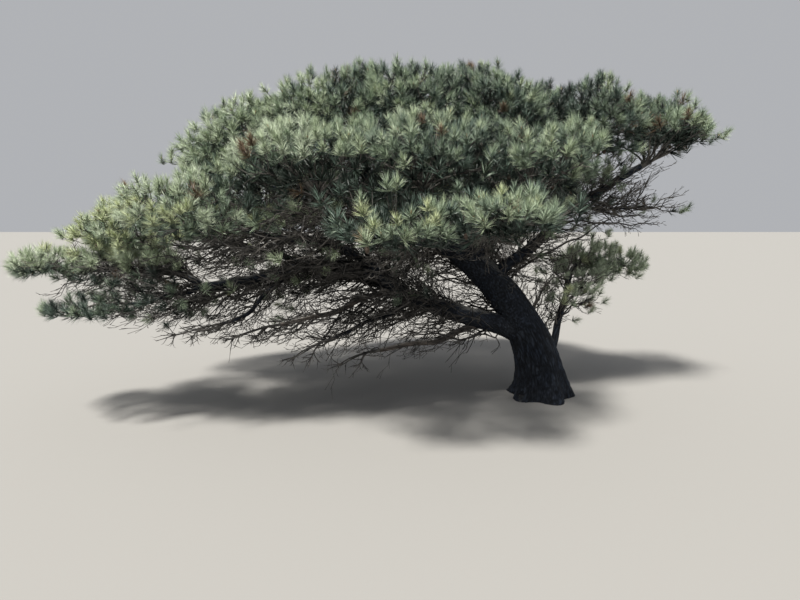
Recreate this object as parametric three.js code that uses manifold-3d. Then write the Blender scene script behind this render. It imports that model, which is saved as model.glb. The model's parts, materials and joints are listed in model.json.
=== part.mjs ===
// A windswept pine on a leaning trunk: the trunk, its boughs, the masses of needles that they carry
// and the bare twigs under them. Millimetres, +Z up. +X is the windward side, to the right of someone
// who faces the tree, and +Y is away from them. The origin is the middle of the flat cut at the ground.

import * as THREE from "three";
import { mergeVertices } from "three/addons/utils/BufferGeometryUtils.js";
import Module from "manifold-3d";

const wasm = await Module();
wasm.setup();

// Driving dimensions

const GAP = 0.3; // clear space between two pieces that touch on the tree
const UP = new THREE.Vector3(0, 0, 1);

const TRUNK = {
  tip: [-1950, 50, 2620],
  leave: [180, 90],
  arrive: [178, 26],
  radius: [345, 120],
  taper: 0.8, // below 1, the trunk keeps its girth low down and loses it near the fork
  flare: 130, // how far the root flare stands out at the ground
  flareHeight: 330,
  roots: 5, // buttresses round the flare
  buttress: 0.16, // their height, as a share of the radius
  sides: 15,
  rings: 12,
};

// Where each limb starts, as the limb it grows from and a share of that limb's length; the place of
// its tip; its direction where it leaves and where it ends, as degrees round from +X and degrees
// above level; its radius at both ends; and how far it wanders off a smooth curve.
const LIMBS = {
  low_bough: {
    from: "trunk", at: 0.27, tip: [-2450, -600, 1950],
    leave: [184, 35], arrive: [186, 50], radius: [165, 92], wander: 20,
  },
  long_bough: {
    from: "low_bough", at: 0.96, tip: [-4850, -1200, 1820],
    leave: [188, 34], arrive: [186, -3], radius: [78, 52], wander: 30,
  },
  left_tip_bough: {
    from: "long_bough", at: 0.96, tip: [-6380, -1200, 2060],
    leave: [176, 38], arrive: [182, 8], radius: [44, 24], wander: 35,
  },
  left_low_bough: {
    from: "long_bough", at: 0.9, tip: [-5650, -1480, 1650],
    leave: [196, -4], arrive: [182, 4], radius: [34, 18], wander: 25,
  },
  left_upper_bough: {
    from: "left_tip_bough", at: 0.22, tip: [-5480, -980, 2320],
    leave: [160, 55], arrive: [176, 22], radius: [34, 22], wander: 15,
  },
  left_rear_bough: {
    from: "low_bough", at: 0.84, tip: [-4850, 420, 2330],
    leave: [166, 16], arrive: [170, 14], radius: [58, 26], wander: 45,
  },
  rising_bough: {
    from: "low_bough", at: 0.97, tip: [-4250, -1480, 2620],
    leave: [194, 52], arrive: [190, 18], radius: [62, 30], wander: 40,
  },
  leader: {
    from: "trunk", at: 0.97, tip: [-3000, -330, 3760],
    leave: [182, 36], arrive: [170, 52], radius: [104, 44], wander: 40,
  },
  shoulder_bough: {
    from: "leader", at: 0.42, tip: [-4150, -420, 3220],
    leave: [186, 24], arrive: [180, 26], radius: [62, 32], wander: 40,
  },
  crest_bough: {
    from: "trunk", at: 0.9, tip: [-2050, -220, 3880],
    leave: [210, 66], arrive: [120, 80], radius: [76, 38], wander: 50,
  },
  crown_bough: {
    from: "trunk", at: 0.76, tip: [-960, -150, 3820],
    leave: [60, 68], arrive: [90, 78], radius: [78, 38], wander: 45,
  },
  windward_bough: {
    from: "trunk", at: 0.6, tip: [1450, 220, 3480],
    leave: [2, 38], arrive: [4, 26], radius: [92, 44], wander: 60,
  },
  windward_top_bough: {
    from: "windward_bough", at: 0.5, tip: [380, 40, 3720],
    leave: [120, 72], arrive: [90, 76], radius: [52, 32], wander: 30,
  },
  windward_low_bough: {
    from: "windward_bough", at: 0.58, tip: [1420, 260, 2870],
    leave: [4, -8], arrive: [2, 6], radius: [26, 13], wander: 25,
  },
  side_stem: {
    from: "trunk", at: 0.12, tip: [760, 960, 1960],
    leave: [22, 42], arrive: [50, 24], radius: [66, 30], wander: 30,
  },
  front_left_bough: {
    from: "leader", at: 0.3, tip: [-3080, -1620, 2900],
    leave: [236, 16], arrive: [256, 28], radius: [56, 30], wander: 40,
  },
  front_bough: {
    from: "trunk", at: 0.95, tip: [-1900, -1620, 2960],
    leave: [268, 36], arrive: [270, 30], radius: [62, 32], wander: 40,
  },
  front_right_bough: {
    from: "trunk", at: 0.8, tip: [-620, -1480, 2900],
    leave: [304, 44], arrive: [282, 32], radius: [60, 32], wander: 40,
  },
  near_left_bough: {
    from: "trunk", at: 0.88, tip: [-2020, -2260, 2480],
    leave: [262, 8], arrive: [262, 14], radius: [46, 24], wander: 40,
  },
  near_right_bough: {
    from: "trunk", at: 0.72, tip: [-1060, -2250, 2580],
    leave: [278, 26], arrive: [272, 14], radius: [46, 24], wander: 40,
  },
  rear_shoulder_bough: {
    from: "leader", at: 0.36, tip: [-4300, 900, 2760],
    leave: [150, 8], arrive: [168, 22], radius: [50, 28], wander: 45,
  },
  rear_left_bough: {
    from: "leader", at: 0.55, tip: [-3150, 1180, 3180],
    leave: [112, 22], arrive: [104, 30], radius: [50, 30], wander: 35,
  },
  rear_bough: {
    from: "trunk", at: 0.93, tip: [-1760, 1480, 3260],
    leave: [88, 40], arrive: [90, 36], radius: [62, 32], wander: 40,
  },
  rear_right_bough: {
    from: "trunk", at: 0.68, tip: [-250, 1380, 3080],
    leave: [58, 42], arrive: [84, 34], radius: [60, 32], wander: 40,
  },
  far_left_bough: {
    from: "trunk", at: 0.86, tip: [-2500, 2120, 2420],
    leave: [118, 6], arrive: [104, 10], radius: [48, 24], wander: 45,
  },
  far_right_bough: {
    from: "trunk", at: 0.64, tip: [-720, 2180, 2320],
    leave: [84, 12], arrive: [92, 8], radius: [48, 24], wander: 45,
  },
  drooping_bough: {
    from: "low_bough", at: 0.88, tip: [-3700, -1420, 1370],
    leave: [200, -14], arrive: [190, -8], radius: [44, 22], wander: 30,
  },
  hanging_bough: {
    from: "low_bough", at: 0.74, tip: [-3050, -1180, 1150],
    leave: [206, -20], arrive: [200, -18], radius: [38, 20], wander: 30,
  },
  trailing_bough: {
    from: "long_bough", at: 0.5, tip: [-4450, -1500, 1390],
    leave: [212, -30], arrive: [184, -10], radius: [34, 18], wander: 30,
  },
  dead_bough: {
    from: "low_bough", at: 0.3, tip: [-2450, -1020, 940],
    leave: [196, -24], arrive: [190, -8], radius: [46, 26], wander: 35,
  },
};

// Each mass: the bough that it grows on from, the middle and the half-sizes of the pad that it fills,
// and whether it is open, with sky between its twigs, or bare of needles. The pads overlap as domes
// do, and walls between them keep each mass to its own space.
const MASSES = {
  left_tip_needles: {
    bough: "left_tip_bough", middle: [-6880, -1190, 2170],
    half: [480, 560, 300], open: true,
  },
  left_low_needles: {
    bough: "left_low_bough", middle: [-6120, -1510, 1660],
    half: [600, 500, 230], open: true,
  },
  left_upper_needles: { bough: "left_upper_bough", middle: [-5900, -900, 2560], half: [700, 760, 430] },
  left_rear_needles: { bough: "left_rear_bough", middle: [-5350, 620, 2580], half: [880, 820, 480] },
  rising_needles: { bough: "rising_bough", middle: [-4650, -1720, 2800], half: [880, 860, 520] },
  leader_needles: { bough: "leader", middle: [-3180, -380, 4060], half: [1080, 1150, 680] },
  shoulder_needles: { bough: "shoulder_bough", middle: [-4240, -420, 3690], half: [1020, 1100, 650] },
  crest_needles: { bough: "crest_bough", middle: [-2050, -260, 4260], half: [950, 1150, 620] },
  crown_needles: { bough: "crown_bough", middle: [-850, -180, 4230], half: [950, 1150, 640] },
  windward_needles: { bough: "windward_bough", middle: [1700, 180, 3980], half: [950, 900, 500] },
  windward_top_needles: { bough: "windward_top_bough", middle: [420, 20, 4120], half: [980, 1150, 640] },
  windward_low_needles: {
    bough: "windward_low_bough", middle: [1880, 290, 2940],
    half: [430, 420, 210], open: true,
  },
  side_needles: { bough: "side_stem", middle: [1250, 1230, 2000], half: [840, 600, 400], open: true },
  front_left_needles: { bough: "front_left_bough", middle: [-3180, -1850, 3230], half: [1000, 900, 580] },
  front_needles: { bough: "front_bough", middle: [-1880, -1880, 3320], half: [950, 900, 580] },
  front_right_needles: { bough: "front_right_bough", middle: [-450, -1700, 3320], half: [1050, 950, 560] },
  near_left_needles: { bough: "near_left_bough", middle: [-2220, -2700, 2640], half: [800, 620, 380] },
  near_right_needles: { bough: "near_right_bough", middle: [-1050, -2700, 2760], half: [700, 620, 360] },
  rear_shoulder_needles: {
    bough: "rear_shoulder_bough", middle: [-4500, 1050, 3000],
    half: [1000, 900, 560],
  },
  rear_left_needles: { bough: "rear_left_bough", middle: [-3200, 1450, 3480], half: [1000, 950, 600] },
  rear_needles: { bough: "rear_bough", middle: [-1780, 1650, 3600], half: [950, 950, 600] },
  rear_right_needles: { bough: "rear_right_bough", middle: [-200, 1550, 3480], half: [1050, 950, 600] },
  far_left_needles: { bough: "far_left_bough", middle: [-2650, 2500, 2600], half: [950, 650, 450] },
  far_right_needles: { bough: "far_right_bough", middle: [-780, 2550, 2520], half: [950, 650, 450] },
  drooping_twigs: {
    bough: "drooping_bough", middle: [-4250, -1560, 1320],
    half: [560, 380, 170], bare: true,
  },
  hanging_twigs: { bough: "hanging_bough", middle: [-3480, -1330, 980], half: [460, 300, 150], bare: true },
  trailing_twigs: {
    bough: "trailing_bough", middle: [-4950, -1560, 1330],
    half: [460, 300, 130], bare: true,
  },
  dead_twigs: { bough: "dead_bough", middle: [-2950, -1180, 860], half: [480, 300, 120], bare: true },
};

const LIMB = {
  handle: 0.35, // of the chord, from each end to the curve's control points
  phase: 0.37, // of a turn, from one limb's wander to the next one's
  ringEvery: 380, // along a bough, with at least so many rings
  fewestRings: 4,
  thick: 70, // from this radius a bough has more sides
  middling: 40,
  windings: 1.6, // turns that a limb's wander makes along it
  collar: 0.28, // how far a bough swells where it leaves its parent, as a share of its radius
  collarLength: 1.6, // in radii
  steep: 0.9, // a limb that starts steeper than this has its rings' first corner to +X
};

const PAD = {
  spacing: 1000, // between sprays over a dense pad
  openSpacing: 590, // and over an open one
  lowest: 104, // degrees from the pad's top down to its lowest sprays
  rim: 0.2, // height, as a share of the pad's, below which a dense pad has sprays as well as tufts
  buried: 0.62, // a spray this deep in another pad, as a share of its half-size, is left out
  wallMargin: 14, // how far a mass stays from the wall round its space
  limbMargin: 16, // and from the skin of a limb
  wallTilt: 2.2, // above 1, the walls between a higher and a lower pad lie flatter
  stem: 0.25, // length of the stem, as a share of the way to the middle of the ends
  stemLeast: 170,
  domeArea: 3.56, // of the skin that has sprays, as a multiple of the products of the half-sizes
  fewest: 6, // sprays over a pad
  turn: 0.618, // of a turn, from one mass's sprays to the next one's
  seed: 11,
  seedStep: 131, // from one mass to the next
};

const SPRAY = {
  length: 430, // longest needle spray
  shortest: 120, // on a thin pad sprays are this long, and grow by a share of the pad's half-height
  grows: 0.75,
  neck: 13, // radius where the twig ends and the needles start
  core: 34, // radius of the core that the needles stand out of
  frontAngle: 34, // degrees that the needles ahead spread from the middle one
  front: 0.95, // their length, as a share of the spray's
  sideAngle: 72,
  side: 0.8,
  needle: 4, // half the thickness of a needle
};

const CORE = {
  wide: 0.76, // a dense pad's core, as a share of the pad's half-sizes
  high: 0.5,
  below: 0.5, // how much flatter it is below than above
  rough: 0.14, // how far its corners stray, as a share
  spacing: 225, // between the sprays that stand on it
  spray: [0.5, 0.7], // their length, as shares of the pad's half-height
  raise: 50, // height of their necks above the core
  limbRoom: 12, // clear space round a limb that passes through
  near: 1.3, // a limb that comes nearer than this, in half-sizes of the pad, is cut out
  pull: 0.06, // share of the way to its middle by which a corner outside the walls comes in, each time
};

const TWIG = {
  radius: 11,
  share: 0.45, // power by which a branch is thicker for the number of twigs on it
  reach: 0.7, // how far a branch goes to the middle of its twigs' ends, as a share
  apart: 0.16, // between twigs on a branch, as a share of it
  group: 4, // twigs on a branch, at most
  firstRoot: 0.1, // where the first branch leaves the stem, as a share of it from its knot
  nextRoot: 0.12, // and how much nearer to the bough each further one does
  stemTaper: 0.7,
  taper: 0.6,
  lift: 0.55, // how much needles turn up
  lean: 0.18, // and to leeward
};

const MERGED = 1e-3; // corners nearer than this are one


const BARK = new THREE.MeshStandardMaterial({ color: 0x5a5048, roughness: 0.95, metalness: 0 });
const DEAD_WOOD = new THREE.MeshStandardMaterial({ color: 0x8a8076, roughness: 0.9, metalness: 0 });
const NEEDLES = new THREE.MeshStandardMaterial({ color: 0x6d7f55, roughness: 0.6, metalness: 0 });

// Shared helpers

const vec = ([x, y, z]) => new THREE.Vector3(x, y, z);

function heading([round, rise]) {
  const a = THREE.MathUtils.degToRad(round);
  const e = THREE.MathUtils.degToRad(rise);
  return new THREE.Vector3(Math.cos(a) * Math.cos(e), Math.sin(a) * Math.cos(e), Math.sin(e));
}

// A linear congruential generator of numbers from 0 to 1.
function seeded(seed) {
  const [factor, step, range] = [1664525, 1013904223, 2 ** 32];
  let state = seed >>> 0;
  return () => {
    state = (Math.imul(state, factor) + step) >>> 0;
    return state / range;
  };
}

function solid(geometry) {
  const plain = geometry.clone();
  plain.deleteAttribute("normal");
  plain.deleteAttribute("uv");
  const merged = mergeVertices(plain, MERGED);
  return new wasm.Manifold(
    new wasm.Mesh({
      numProp: 3,
      vertProperties: Float32Array.from(merged.attributes.position.array),
      triVerts: Uint32Array.from(merged.index.array),
    }),
  );
}

function geometryOf(made) {
  const mesh = made.getMesh();
  return new THREE.BufferGeometry()
    .setAttribute("position", new THREE.BufferAttribute(mesh.vertProperties, 3))
    .setIndex(new THREE.BufferAttribute(mesh.triVerts, 1));
}

// The largest of the separate bodies in a solid, so that loose scraps are dropped.
function largest(made) {
  return made.decompose().reduce((best, body) => (body.volume() > best.volume() ? body : best));
}

function joined(solids) {
  let layer = solids;
  while (layer.length > 1) {
    const next = [];
    for (let i = 0; i < layer.length; i += 2) {
      next.push(i + 1 < layer.length ? layer[i].add(layer[i + 1]) : layer[i]);
    }
    layer = next;
  }
  return layer[0];
}

// Limbs

function curveOf({ start, tip, leave, arrive }) {
  const end = vec(tip);
  const reach = start.distanceTo(end) * LIMB.handle;
  return new THREE.CubicBezierCurve3(
    start,
    start.clone().addScaledVector(heading(leave), reach),
    end.clone().addScaledVector(heading(arrive), -reach),
    end,
  );
}

// A point on a limb's centreline: its smooth curve, and a sideways wander that dies away at both ends.
function along(limb, t) {
  const place = limb.curve.getPoint(t);
  if (!limb.wander) return place;
  const chord = limb.curve.v3.clone().sub(limb.curve.v0).normalize();
  const side = chord.clone().cross(UP).normalize();
  const over = side.clone().cross(chord);
  const wave = limb.wander * Math.sin(Math.PI * t) ** 2;
  const turn = 2 * Math.PI * (LIMB.windings * t + limb.phase);
  return place.addScaledVector(side, wave * Math.sin(turn)).addScaledVector(over, wave * Math.cos(turn));
}

function radiusAt(limb, t) {
  const [thick, thin] = limb.radius;
  const plain = thin + (thick - thin) * (1 - t) ** (limb.taper ?? 1);
  const collar = limb.flare ?? LIMB.collar * thick;
  const spread = limb.flareHeight ?? LIMB.collarLength * thick;
  return plain + collar * Math.exp((-t * limb.length) / spread);
}

// A ring of points round the centreline, square to it. The trunk's lower rings have buttresses.
function ring(limb, t, side, grown) {
  const step = 1e-3;
  const ahead = along(limb, Math.min(1, t + step));
  const behind = along(limb, Math.max(0, t - step));
  const tangent = t === 0 && !limb.wander ? heading(limb.leave) : ahead.sub(behind).normalize();
  const across = side.clone().addScaledVector(tangent, -side.dot(tangent)).normalize();
  const third = tangent.clone().cross(across);
  const points = [];
  for (let i = 0; i < limb.sides; i += 1) {
    const angle = (2 * Math.PI * i) / limb.sides;
    let reach = radiusAt(limb, t);
    if (limb.roots) {
      const fade = Math.exp((-t * limb.length) / limb.flareHeight);
      reach *= 1 + limb.buttress * fade * Math.cos(limb.roots * angle);
    }
    reach += grown;
    points.push(
      along(limb, t)
        .addScaledVector(across, reach * Math.cos(angle))
        .addScaledVector(third, reach * Math.sin(angle)),
    );
  }
  return { points, across, tangent };
}

// The skin over a limb's rings, closed by a flat cap at each end. A grown limb is thicker all over.
function skin(limb, grown = 0) {
  const points = [];
  let side = Math.abs(heading(limb.leave).z) > LIMB.steep ? new THREE.Vector3(1, 0, 0) : UP;
  for (let k = 0; k <= limb.rings; k += 1) {
    const made = ring(limb, k / limb.rings, side, grown);
    if (k === 0) made.points.forEach((p) => p.addScaledVector(made.tangent, -grown));
    if (k === limb.rings) made.points.forEach((p) => p.addScaledVector(made.tangent, grown));
    side = made.across;
    points.push(...made.points);
  }
  const faces = [];
  const n = limb.sides;
  for (let k = 0; k < limb.rings; k += 1) {
    for (let i = 0; i < n; i += 1) {
      const a = k * n + i;
      const b = k * n + ((i + 1) % n);
      faces.push(a, b, b + n, a, b + n, a + n);
    }
  }
  const last = limb.rings * n;
  for (let i = 1; i < n - 1; i += 1) {
    faces.push(0, i + 1, i, last, last + i, last + i + 1);
  }
  const geometry = new THREE.BufferGeometry().setFromPoints(points);
  geometry.setIndex(faces);
  return geometry;
}

function growLimbs() {
  const limbs = { trunk: { ...TRUNK, start: new THREE.Vector3() } };
  limbs.trunk.curve = curveOf(limbs.trunk);
  limbs.trunk.length = limbs.trunk.curve.getLength();
  Object.entries(LIMBS).forEach(([name, row], order) => {
    const start = along(limbs[row.from], row.at);
    const limb = { ...row, start, phase: (LIMB.phase * order) % 1 };
    limb.curve = curveOf(limb);
    limb.length = limb.curve.getLength();
    limb.sides = 5 + (limb.radius[0] > LIMB.thick) + (limb.radius[0] > LIMB.middling);
    limb.rings = Math.max(LIMB.fewestRings, Math.round(limb.length / LIMB.ringEvery));
    limbs[name] = limb;
  });
  return limbs;
}

const limbs = growLimbs();

// Limbs as solids, each cut back to 0.3 mm from those before it.
function limbSolids() {
  const made = {};
  const cutters = [];
  for (const [name, limb] of Object.entries(limbs)) {
    let body = solid(skin(limb));
    for (const cutter of cutters) body = body.subtract(cutter);
    made[name] = largest(body);
    cutters.push(solid(skin(limb, GAP)));
  }
  return made;
}

// Masses

// The flat wall between two masses: a point on it, and its normal from the first to the second.
function wallBetween(one, other) {
  const toOther = vec(other.middle).sub(vec(one.middle));
  const size = (mass) => mass.half[0] + mass.half[1];
  const share = size(one) / (size(one) + size(other));
  const point = vec(one.middle).addScaledVector(toOther, share);
  const normal = new THREE.Vector3(toOther.x, toOther.y, toOther.z * PAD.wallTilt).normalize();
  return { point, normal };
}

function keepsIn(mass, place, margin) {
  return mass.walls.every(({ point, normal }) => place.clone().sub(point).dot(normal) < -margin);
}

function depthIn(mass, place) {
  return place.clone().sub(vec(mass.middle)).divide(vec(mass.half)).length();
}

// Whether a straight piece of the given thickness stays clear of every limb.
function clearOfLimbs(from, to, thickness) {
  const piece = new THREE.Line3(from, to);
  const bone = new THREE.Line3();
  return Object.values(limbs).every((limb) => limb.bones.slice(1).every((next, k) => {
    bone.set(limb.bones[k].place, next.place);
    const room = limb.bones[k].radius + thickness + PAD.limbMargin;
    return piece.distanceSqToLine3(bone) > room ** 2;
  }));
}

// Three points round a centre, square to a direction, that face the same way on every ring of a twig.
function triangleRing(centre, normal, radius, turn) {
  const across = new THREE.Vector3(Math.cos(turn), Math.sin(turn), 0);
  const u = across.addScaledVector(normal, -across.dot(normal)).normalize();
  const v = normal.clone().cross(u);
  return [0, 1, 2].map((i) => {
    const a = (2 * Math.PI * i) / 3;
    return centre.clone().addScaledVector(u, radius * Math.cos(a)).addScaledVector(v, radius * Math.sin(a));
  });
}

function tube(low, high) {
  const triangles = [];
  for (let i = 0; i < 3; i += 1) {
    const j = (i + 1) % 3;
    triangles.push(low[i], low[j], high[j], low[i], high[j], high[i]);
  }
  return triangles;
}

// A three-sided twig. It ends in a point when its end has no thickness.
function twigShape(from, to, thick, thin, turn) {
  const way = to.clone().sub(from).normalize();
  const low = triangleRing(from, way, thick, turn);
  if (!thin) return [low[0], low[2], low[1], low[0], low[1], to, low[1], low[2], to, low[2], low[0], to];
  const high = triangleRing(to, way, thin, turn);
  return [low[0], low[2], low[1], ...tube(low, high), ...high];
}

// A spray of needles that stands on three corners: they narrow to a neck, the neck widens to a slim
// core, and needles are drawn out of the core's faces, three round its side and four ahead.
function sprayShape(corners, { base, axis, length }) {
  const centre = corners[0].clone().add(corners[1]).add(corners[2]).divideScalar(3);
  const start = corners[0].clone().sub(centre).projectOnPlane(axis).normalize();
  const third = axis.clone().cross(start);
  const ringAt = (rise, radius) => [0, 1, 2].map((i) => {
    const a = (2 * Math.PI * i) / 3;
    return base.clone().addScaledVector(axis, rise)
      .addScaledVector(start, radius * Math.cos(a)).addScaledVector(third, radius * Math.sin(a));
  });
  const neck = ringAt(0, SPRAY.neck);
  const belt = ringAt(SPRAY.core * 2, SPRAY.core);
  const drawn = (i, angle, share) => {
    const a = THREE.MathUtils.degToRad(angle);
    const out = neck[i].clone().add(neck[(i + 1) % 3]).divideScalar(2).sub(base).normalize();
    return base.clone()
      .addScaledVector(axis, Math.cos(a) * length * share)
      .addScaledVector(out, Math.sin(a) * length * share);
  };
  const tip = base.clone().addScaledVector(axis, length);
  const needles = [tip];
  const triangles = tube(corners, neck);
  for (let i = 0; i < 3; i += 1) {
    const j = (i + 1) % 3;
    const beside = drawn(i, SPRAY.sideAngle, SPRAY.side);
    const ahead = drawn(i, SPRAY.frontAngle, SPRAY.front);
    needles.push(beside, ahead);
    triangles.push(neck[i], neck[j], beside, neck[j], belt[j], beside);
    triangles.push(belt[j], belt[i], beside, belt[i], neck[i], beside);
    triangles.push(belt[i], belt[j], ahead, belt[j], tip, ahead, tip, belt[i], ahead);
  }
  return { triangles, needles };
}

// A twig with a spray at its end, from its foot.
function sprayOnTwig(foot, end) {
  const corners = triangleRing(foot, end.base.clone().sub(foot).normalize(), TWIG.radius, end.turn);
  const { triangles, needles } = sprayShape(corners, end);
  return { triangles: [corners[0], corners[2], corners[1], ...triangles], needles };
}

const solidOf = (triangles) => solid(new THREE.BufferGeometry().setFromPoints(triangles));

// Directions spread by the golden angle from straight up down to the lowest, and round from a turn.
function spiral(count, turn) {
  const lowest = Math.cos(THREE.MathUtils.degToRad(PAD.lowest));
  const golden = Math.PI * (3 - Math.sqrt(5));
  return Array.from({ length: count }, (unused, k) => {
    const height = 1 - ((k + 0.5) / count) * (1 - lowest);
    const round = golden * k + 2 * Math.PI * turn;
    const flat = Math.sqrt(1 - height * height);
    return new THREE.Vector3(flat * Math.cos(round), flat * Math.sin(round), height);
  });
}

// The way that needles point where a pad's skin faces along the normal: up from it, and to leeward.
function needleAxis(normal, random) {
  const axis = normal.clone().addScaledVector(UP, TWIG.lift);
  axis.x += TWIG.lean * (random() - 1);
  axis.y += TWIG.lean * (random() - 0.5);
  return axis.normalize();
}

// The ends of a mass's twigs, spread over its pad's dome, each with the way that its needles point.
function twigEnds(mass, random) {
  const [a, b, c] = mass.half;
  const spacing = mass.open || mass.bare ? PAD.openSpacing : PAD.spacing;
  const area = PAD.domeArea * (a * b + c * (a + b));
  const count = Math.max(PAD.fewest, Math.round(area / spacing ** 2));
  const length = Math.min(SPRAY.length, SPRAY.shortest + SPRAY.grows * c);
  return spiral(count, mass.turn)
    .filter((out) => mass.open || mass.bare || out.z < PAD.rim)
    .map((out) => {
      const axis = needleAxis(out.clone().divide(vec(mass.half)).normalize(), random);
      const surface = vec(mass.middle).add(out.multiply(vec(mass.half)));
      return { base: surface.addScaledVector(axis, -length), axis, length, turn: random() * Math.PI };
    });
}

// Whether needles that start from one place all stay in the mass's space and off the limbs.
function needlesFit(mass, from, needles) {
  return needles.every((p) => keepsIn(mass, p, PAD.wallMargin) && clearOfLimbs(from, p, SPRAY.needle));
}

function shownBeside(mass, place) {
  const others = Object.values(masses).filter((other) => other !== mass && !other.bare);
  return others.every((other) => depthIn(other, place) > PAD.buried);
}

function endFits(mass, end) {
  if (mass.bare) return needlesFit(mass, end.base, [end.base]);
  const shown = end.base.clone().addScaledVector(end.axis, end.length);
  return shownBeside(mass, shown) && needlesFit(mass, end.base, [end.base, shown]);
}

// The ends parted in two across their widest spread, and again until each group is small.
function groupsOf(ends) {
  if (ends.length <= TWIG.group) return [ends];
  const spread = ["x", "y", "z"].map((k) => {
    const values = ends.map((end) => end.base[k]);
    return { k, width: Math.max(...values) - Math.min(...values) };
  });
  const { k } = spread.reduce((best, one) => (one.width > best.width ? one : best));
  const sorted = [...ends].sort((p, q) => p.base[k] - q.base[k]);
  const half = Math.ceil(sorted.length / 2);
  return [...groupsOf(sorted.slice(0, half)), ...groupsOf(sorted.slice(half))];
}

// The dense middle of a pad: a lumpy dome, flatter below, with sprays of needles that stand on some of
// its faces and others drawn out a little. It is pulled in from the walls of the mass's space and cut
// clear of the limbs that pass through it.
function coreSolid(mass, random) {
  const ball = new THREE.IcosahedronGeometry(1, 1).deleteAttribute("normal").deleteAttribute("uv");
  const net = mergeVertices(ball, MERGED);
  const middle = vec(mass.middle);
  const corners = [];
  const place = new THREE.Vector3();
  for (let i = 0; i < net.attributes.position.count; i += 1) {
    place.fromBufferAttribute(net.attributes.position, i);
    place.z *= place.z < 0 ? CORE.high * CORE.below : CORE.high;
    place.x *= CORE.wide;
    place.y *= CORE.wide;
    place.multiplyScalar(1 + CORE.rough * (2 * random() - 1));
    const corner = middle.clone().add(place.multiply(vec(mass.half)));
    while (!keepsIn(mass, corner, PAD.wallMargin)) corner.lerp(middle, CORE.pull);
    corners.push(corner);
  }
  const faces = [];
  for (let i = 0; i < net.index.count; i += 3) {
    const face = [0, 1, 2].map((j) => corners[net.index.getX(i + j)]);
    const centre = face[0].clone().add(face[1]).add(face[2]).divideScalar(3);
    const normal = face[1].clone().sub(face[0]).cross(face[2].clone().sub(face[0])).normalize();
    faces.push({ face, centre, normal });
  }
  const count = Math.round((mass.half[0] * mass.half[1]) / CORE.spacing ** 2);
  for (const out of spiral(count, mass.turn)) {
    const facing = ({ centre }) => centre.clone().sub(middle).divide(vec(mass.half)).normalize().dot(out);
    const chosen = faces.reduce((best, one) => (facing(one) > facing(best) ? one : best));
    if (chosen.triangles) continue;
    const axis = needleAxis(chosen.normal, random);
    const length = mass.half[2] * THREE.MathUtils.lerp(...CORE.spray, random());
    const end = { base: chosen.centre.clone().addScaledVector(axis, CORE.raise), axis, length };
    const { triangles, needles } = sprayShape(chosen.face, end);
    if (shownBeside(mass, needles[0]) && needlesFit(mass, end.base, needles)) chosen.triangles = triangles;
  }
  const triangles = faces.flatMap((one) => one.triangles ?? one.face);
  let core = solidOf(triangles);
  for (const limb of Object.values(limbs)) {
    const near = limb.bones.some((bone) => depthIn(mass, bone.place) < CORE.near);
    if (near) core = core.subtract(solid(skin(limb, CORE.limbRoom)));
  }
  return core;
}

const middleOf = (ends) =>
  ends.reduce((sum, end) => sum.add(end.base), new THREE.Vector3()).divideScalar(ends.length);

// The stem carries straight on from the bough's flat end, 0.3 mm clear of it. From the stem a branch
// goes most of the way to each group of ends, and gives off a twig and spray to each on its way. In a
// dense mass one more branch carries the core.
function massSolid(name, mass) {
  const random = seeded(PAD.seed + PAD.seedStep * Object.keys(MASSES).indexOf(name));
  const ends = twigEnds(mass, random).filter((end) => endFits(mass, end));
  const bough = limbs[mass.bough];
  const heads = heading(bough.arrive);
  const start = vec(bough.tip).addScaledVector(heads, GAP);
  const reach = ends.length ? start.distanceTo(middleOf(ends)) : 0;
  const length = Math.max(PAD.stemLeast, PAD.stem * reach);
  const thick = radiusAt(bough, 1);
  const knot = start.clone().addScaledVector(heads, length);
  const solids = [solidOf(twigShape(start, knot, thick, thick * TWIG.stemTaper, 0))];
  const groups = ends.length ? groupsOf(ends) : [];
  groups.forEach((group, order) => {
    const girth = TWIG.radius * group.length ** TWIG.share;
    const root = knot.clone().lerp(start, TWIG.firstRoot + TWIG.nextRoot * order);
    const fork = root.clone().lerp(middleOf(group), TWIG.reach);
    if (!clearOfLimbs(root, fork, girth)) return;
    solids.push(solidOf(twigShape(root, fork, girth, girth * TWIG.taper, order + 1)));
    const onward = fork.clone().sub(root).normalize();
    const sorted = [...group].sort((p, q) => p.base.dot(onward) - q.base.dot(onward));
    sorted.forEach((end, place) => {
      const share = 1 - TWIG.apart * (group.length - 1 - place) - girth / root.distanceTo(fork);
      const foot = root.clone().lerp(fork, share);
      if (!clearOfLimbs(foot, end.base, TWIG.radius)) return;
      const spray = sprayOnTwig(foot, end);
      if (mass.bare) solids.push(solidOf(twigShape(foot, end.base, TWIG.radius, 0, end.turn)));
      else if (needlesFit(mass, end.base, spray.needles)) solids.push(solidOf(spray.triangles));
    });
  });
  if (!mass.open && !mass.bare) {
    const root = knot.clone().lerp(start, TWIG.firstRoot);
    const carrier = twigShape(root, vec(mass.middle), thick * TWIG.stemTaper, TWIG.radius, 0);
    solids.push(solidOf(carrier), coreSolid(mass, random));
  }
  return largest(joined(solids));
}

// Bones are the straight stretches that stand for a limb when a twig is kept clear of it.
for (const limb of Object.values(limbs)) {
  limb.bones = [];
  for (let k = 0; k <= limb.rings; k += 1) {
    const t = k / limb.rings;
    limb.bones.push({ place: along(limb, t), radius: radiusAt(limb, t) });
  }
}

const masses = {};
Object.entries(MASSES).forEach(([name, row], order) => {
  masses[name] = { ...row, turn: (PAD.turn * order) % 1 };
});
for (const mass of Object.values(masses)) {
  mass.walls = Object.values(masses)
    .filter((other) => other !== mass)
    .map((other) => wallBetween(mass, other));
}

// The whole tree

const tree = new THREE.Group();

function add(group, name, made, material) {
  const mesh = new THREE.Mesh(geometryOf(made), material);
  mesh.name = name;
  group.add(mesh);
}

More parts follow.
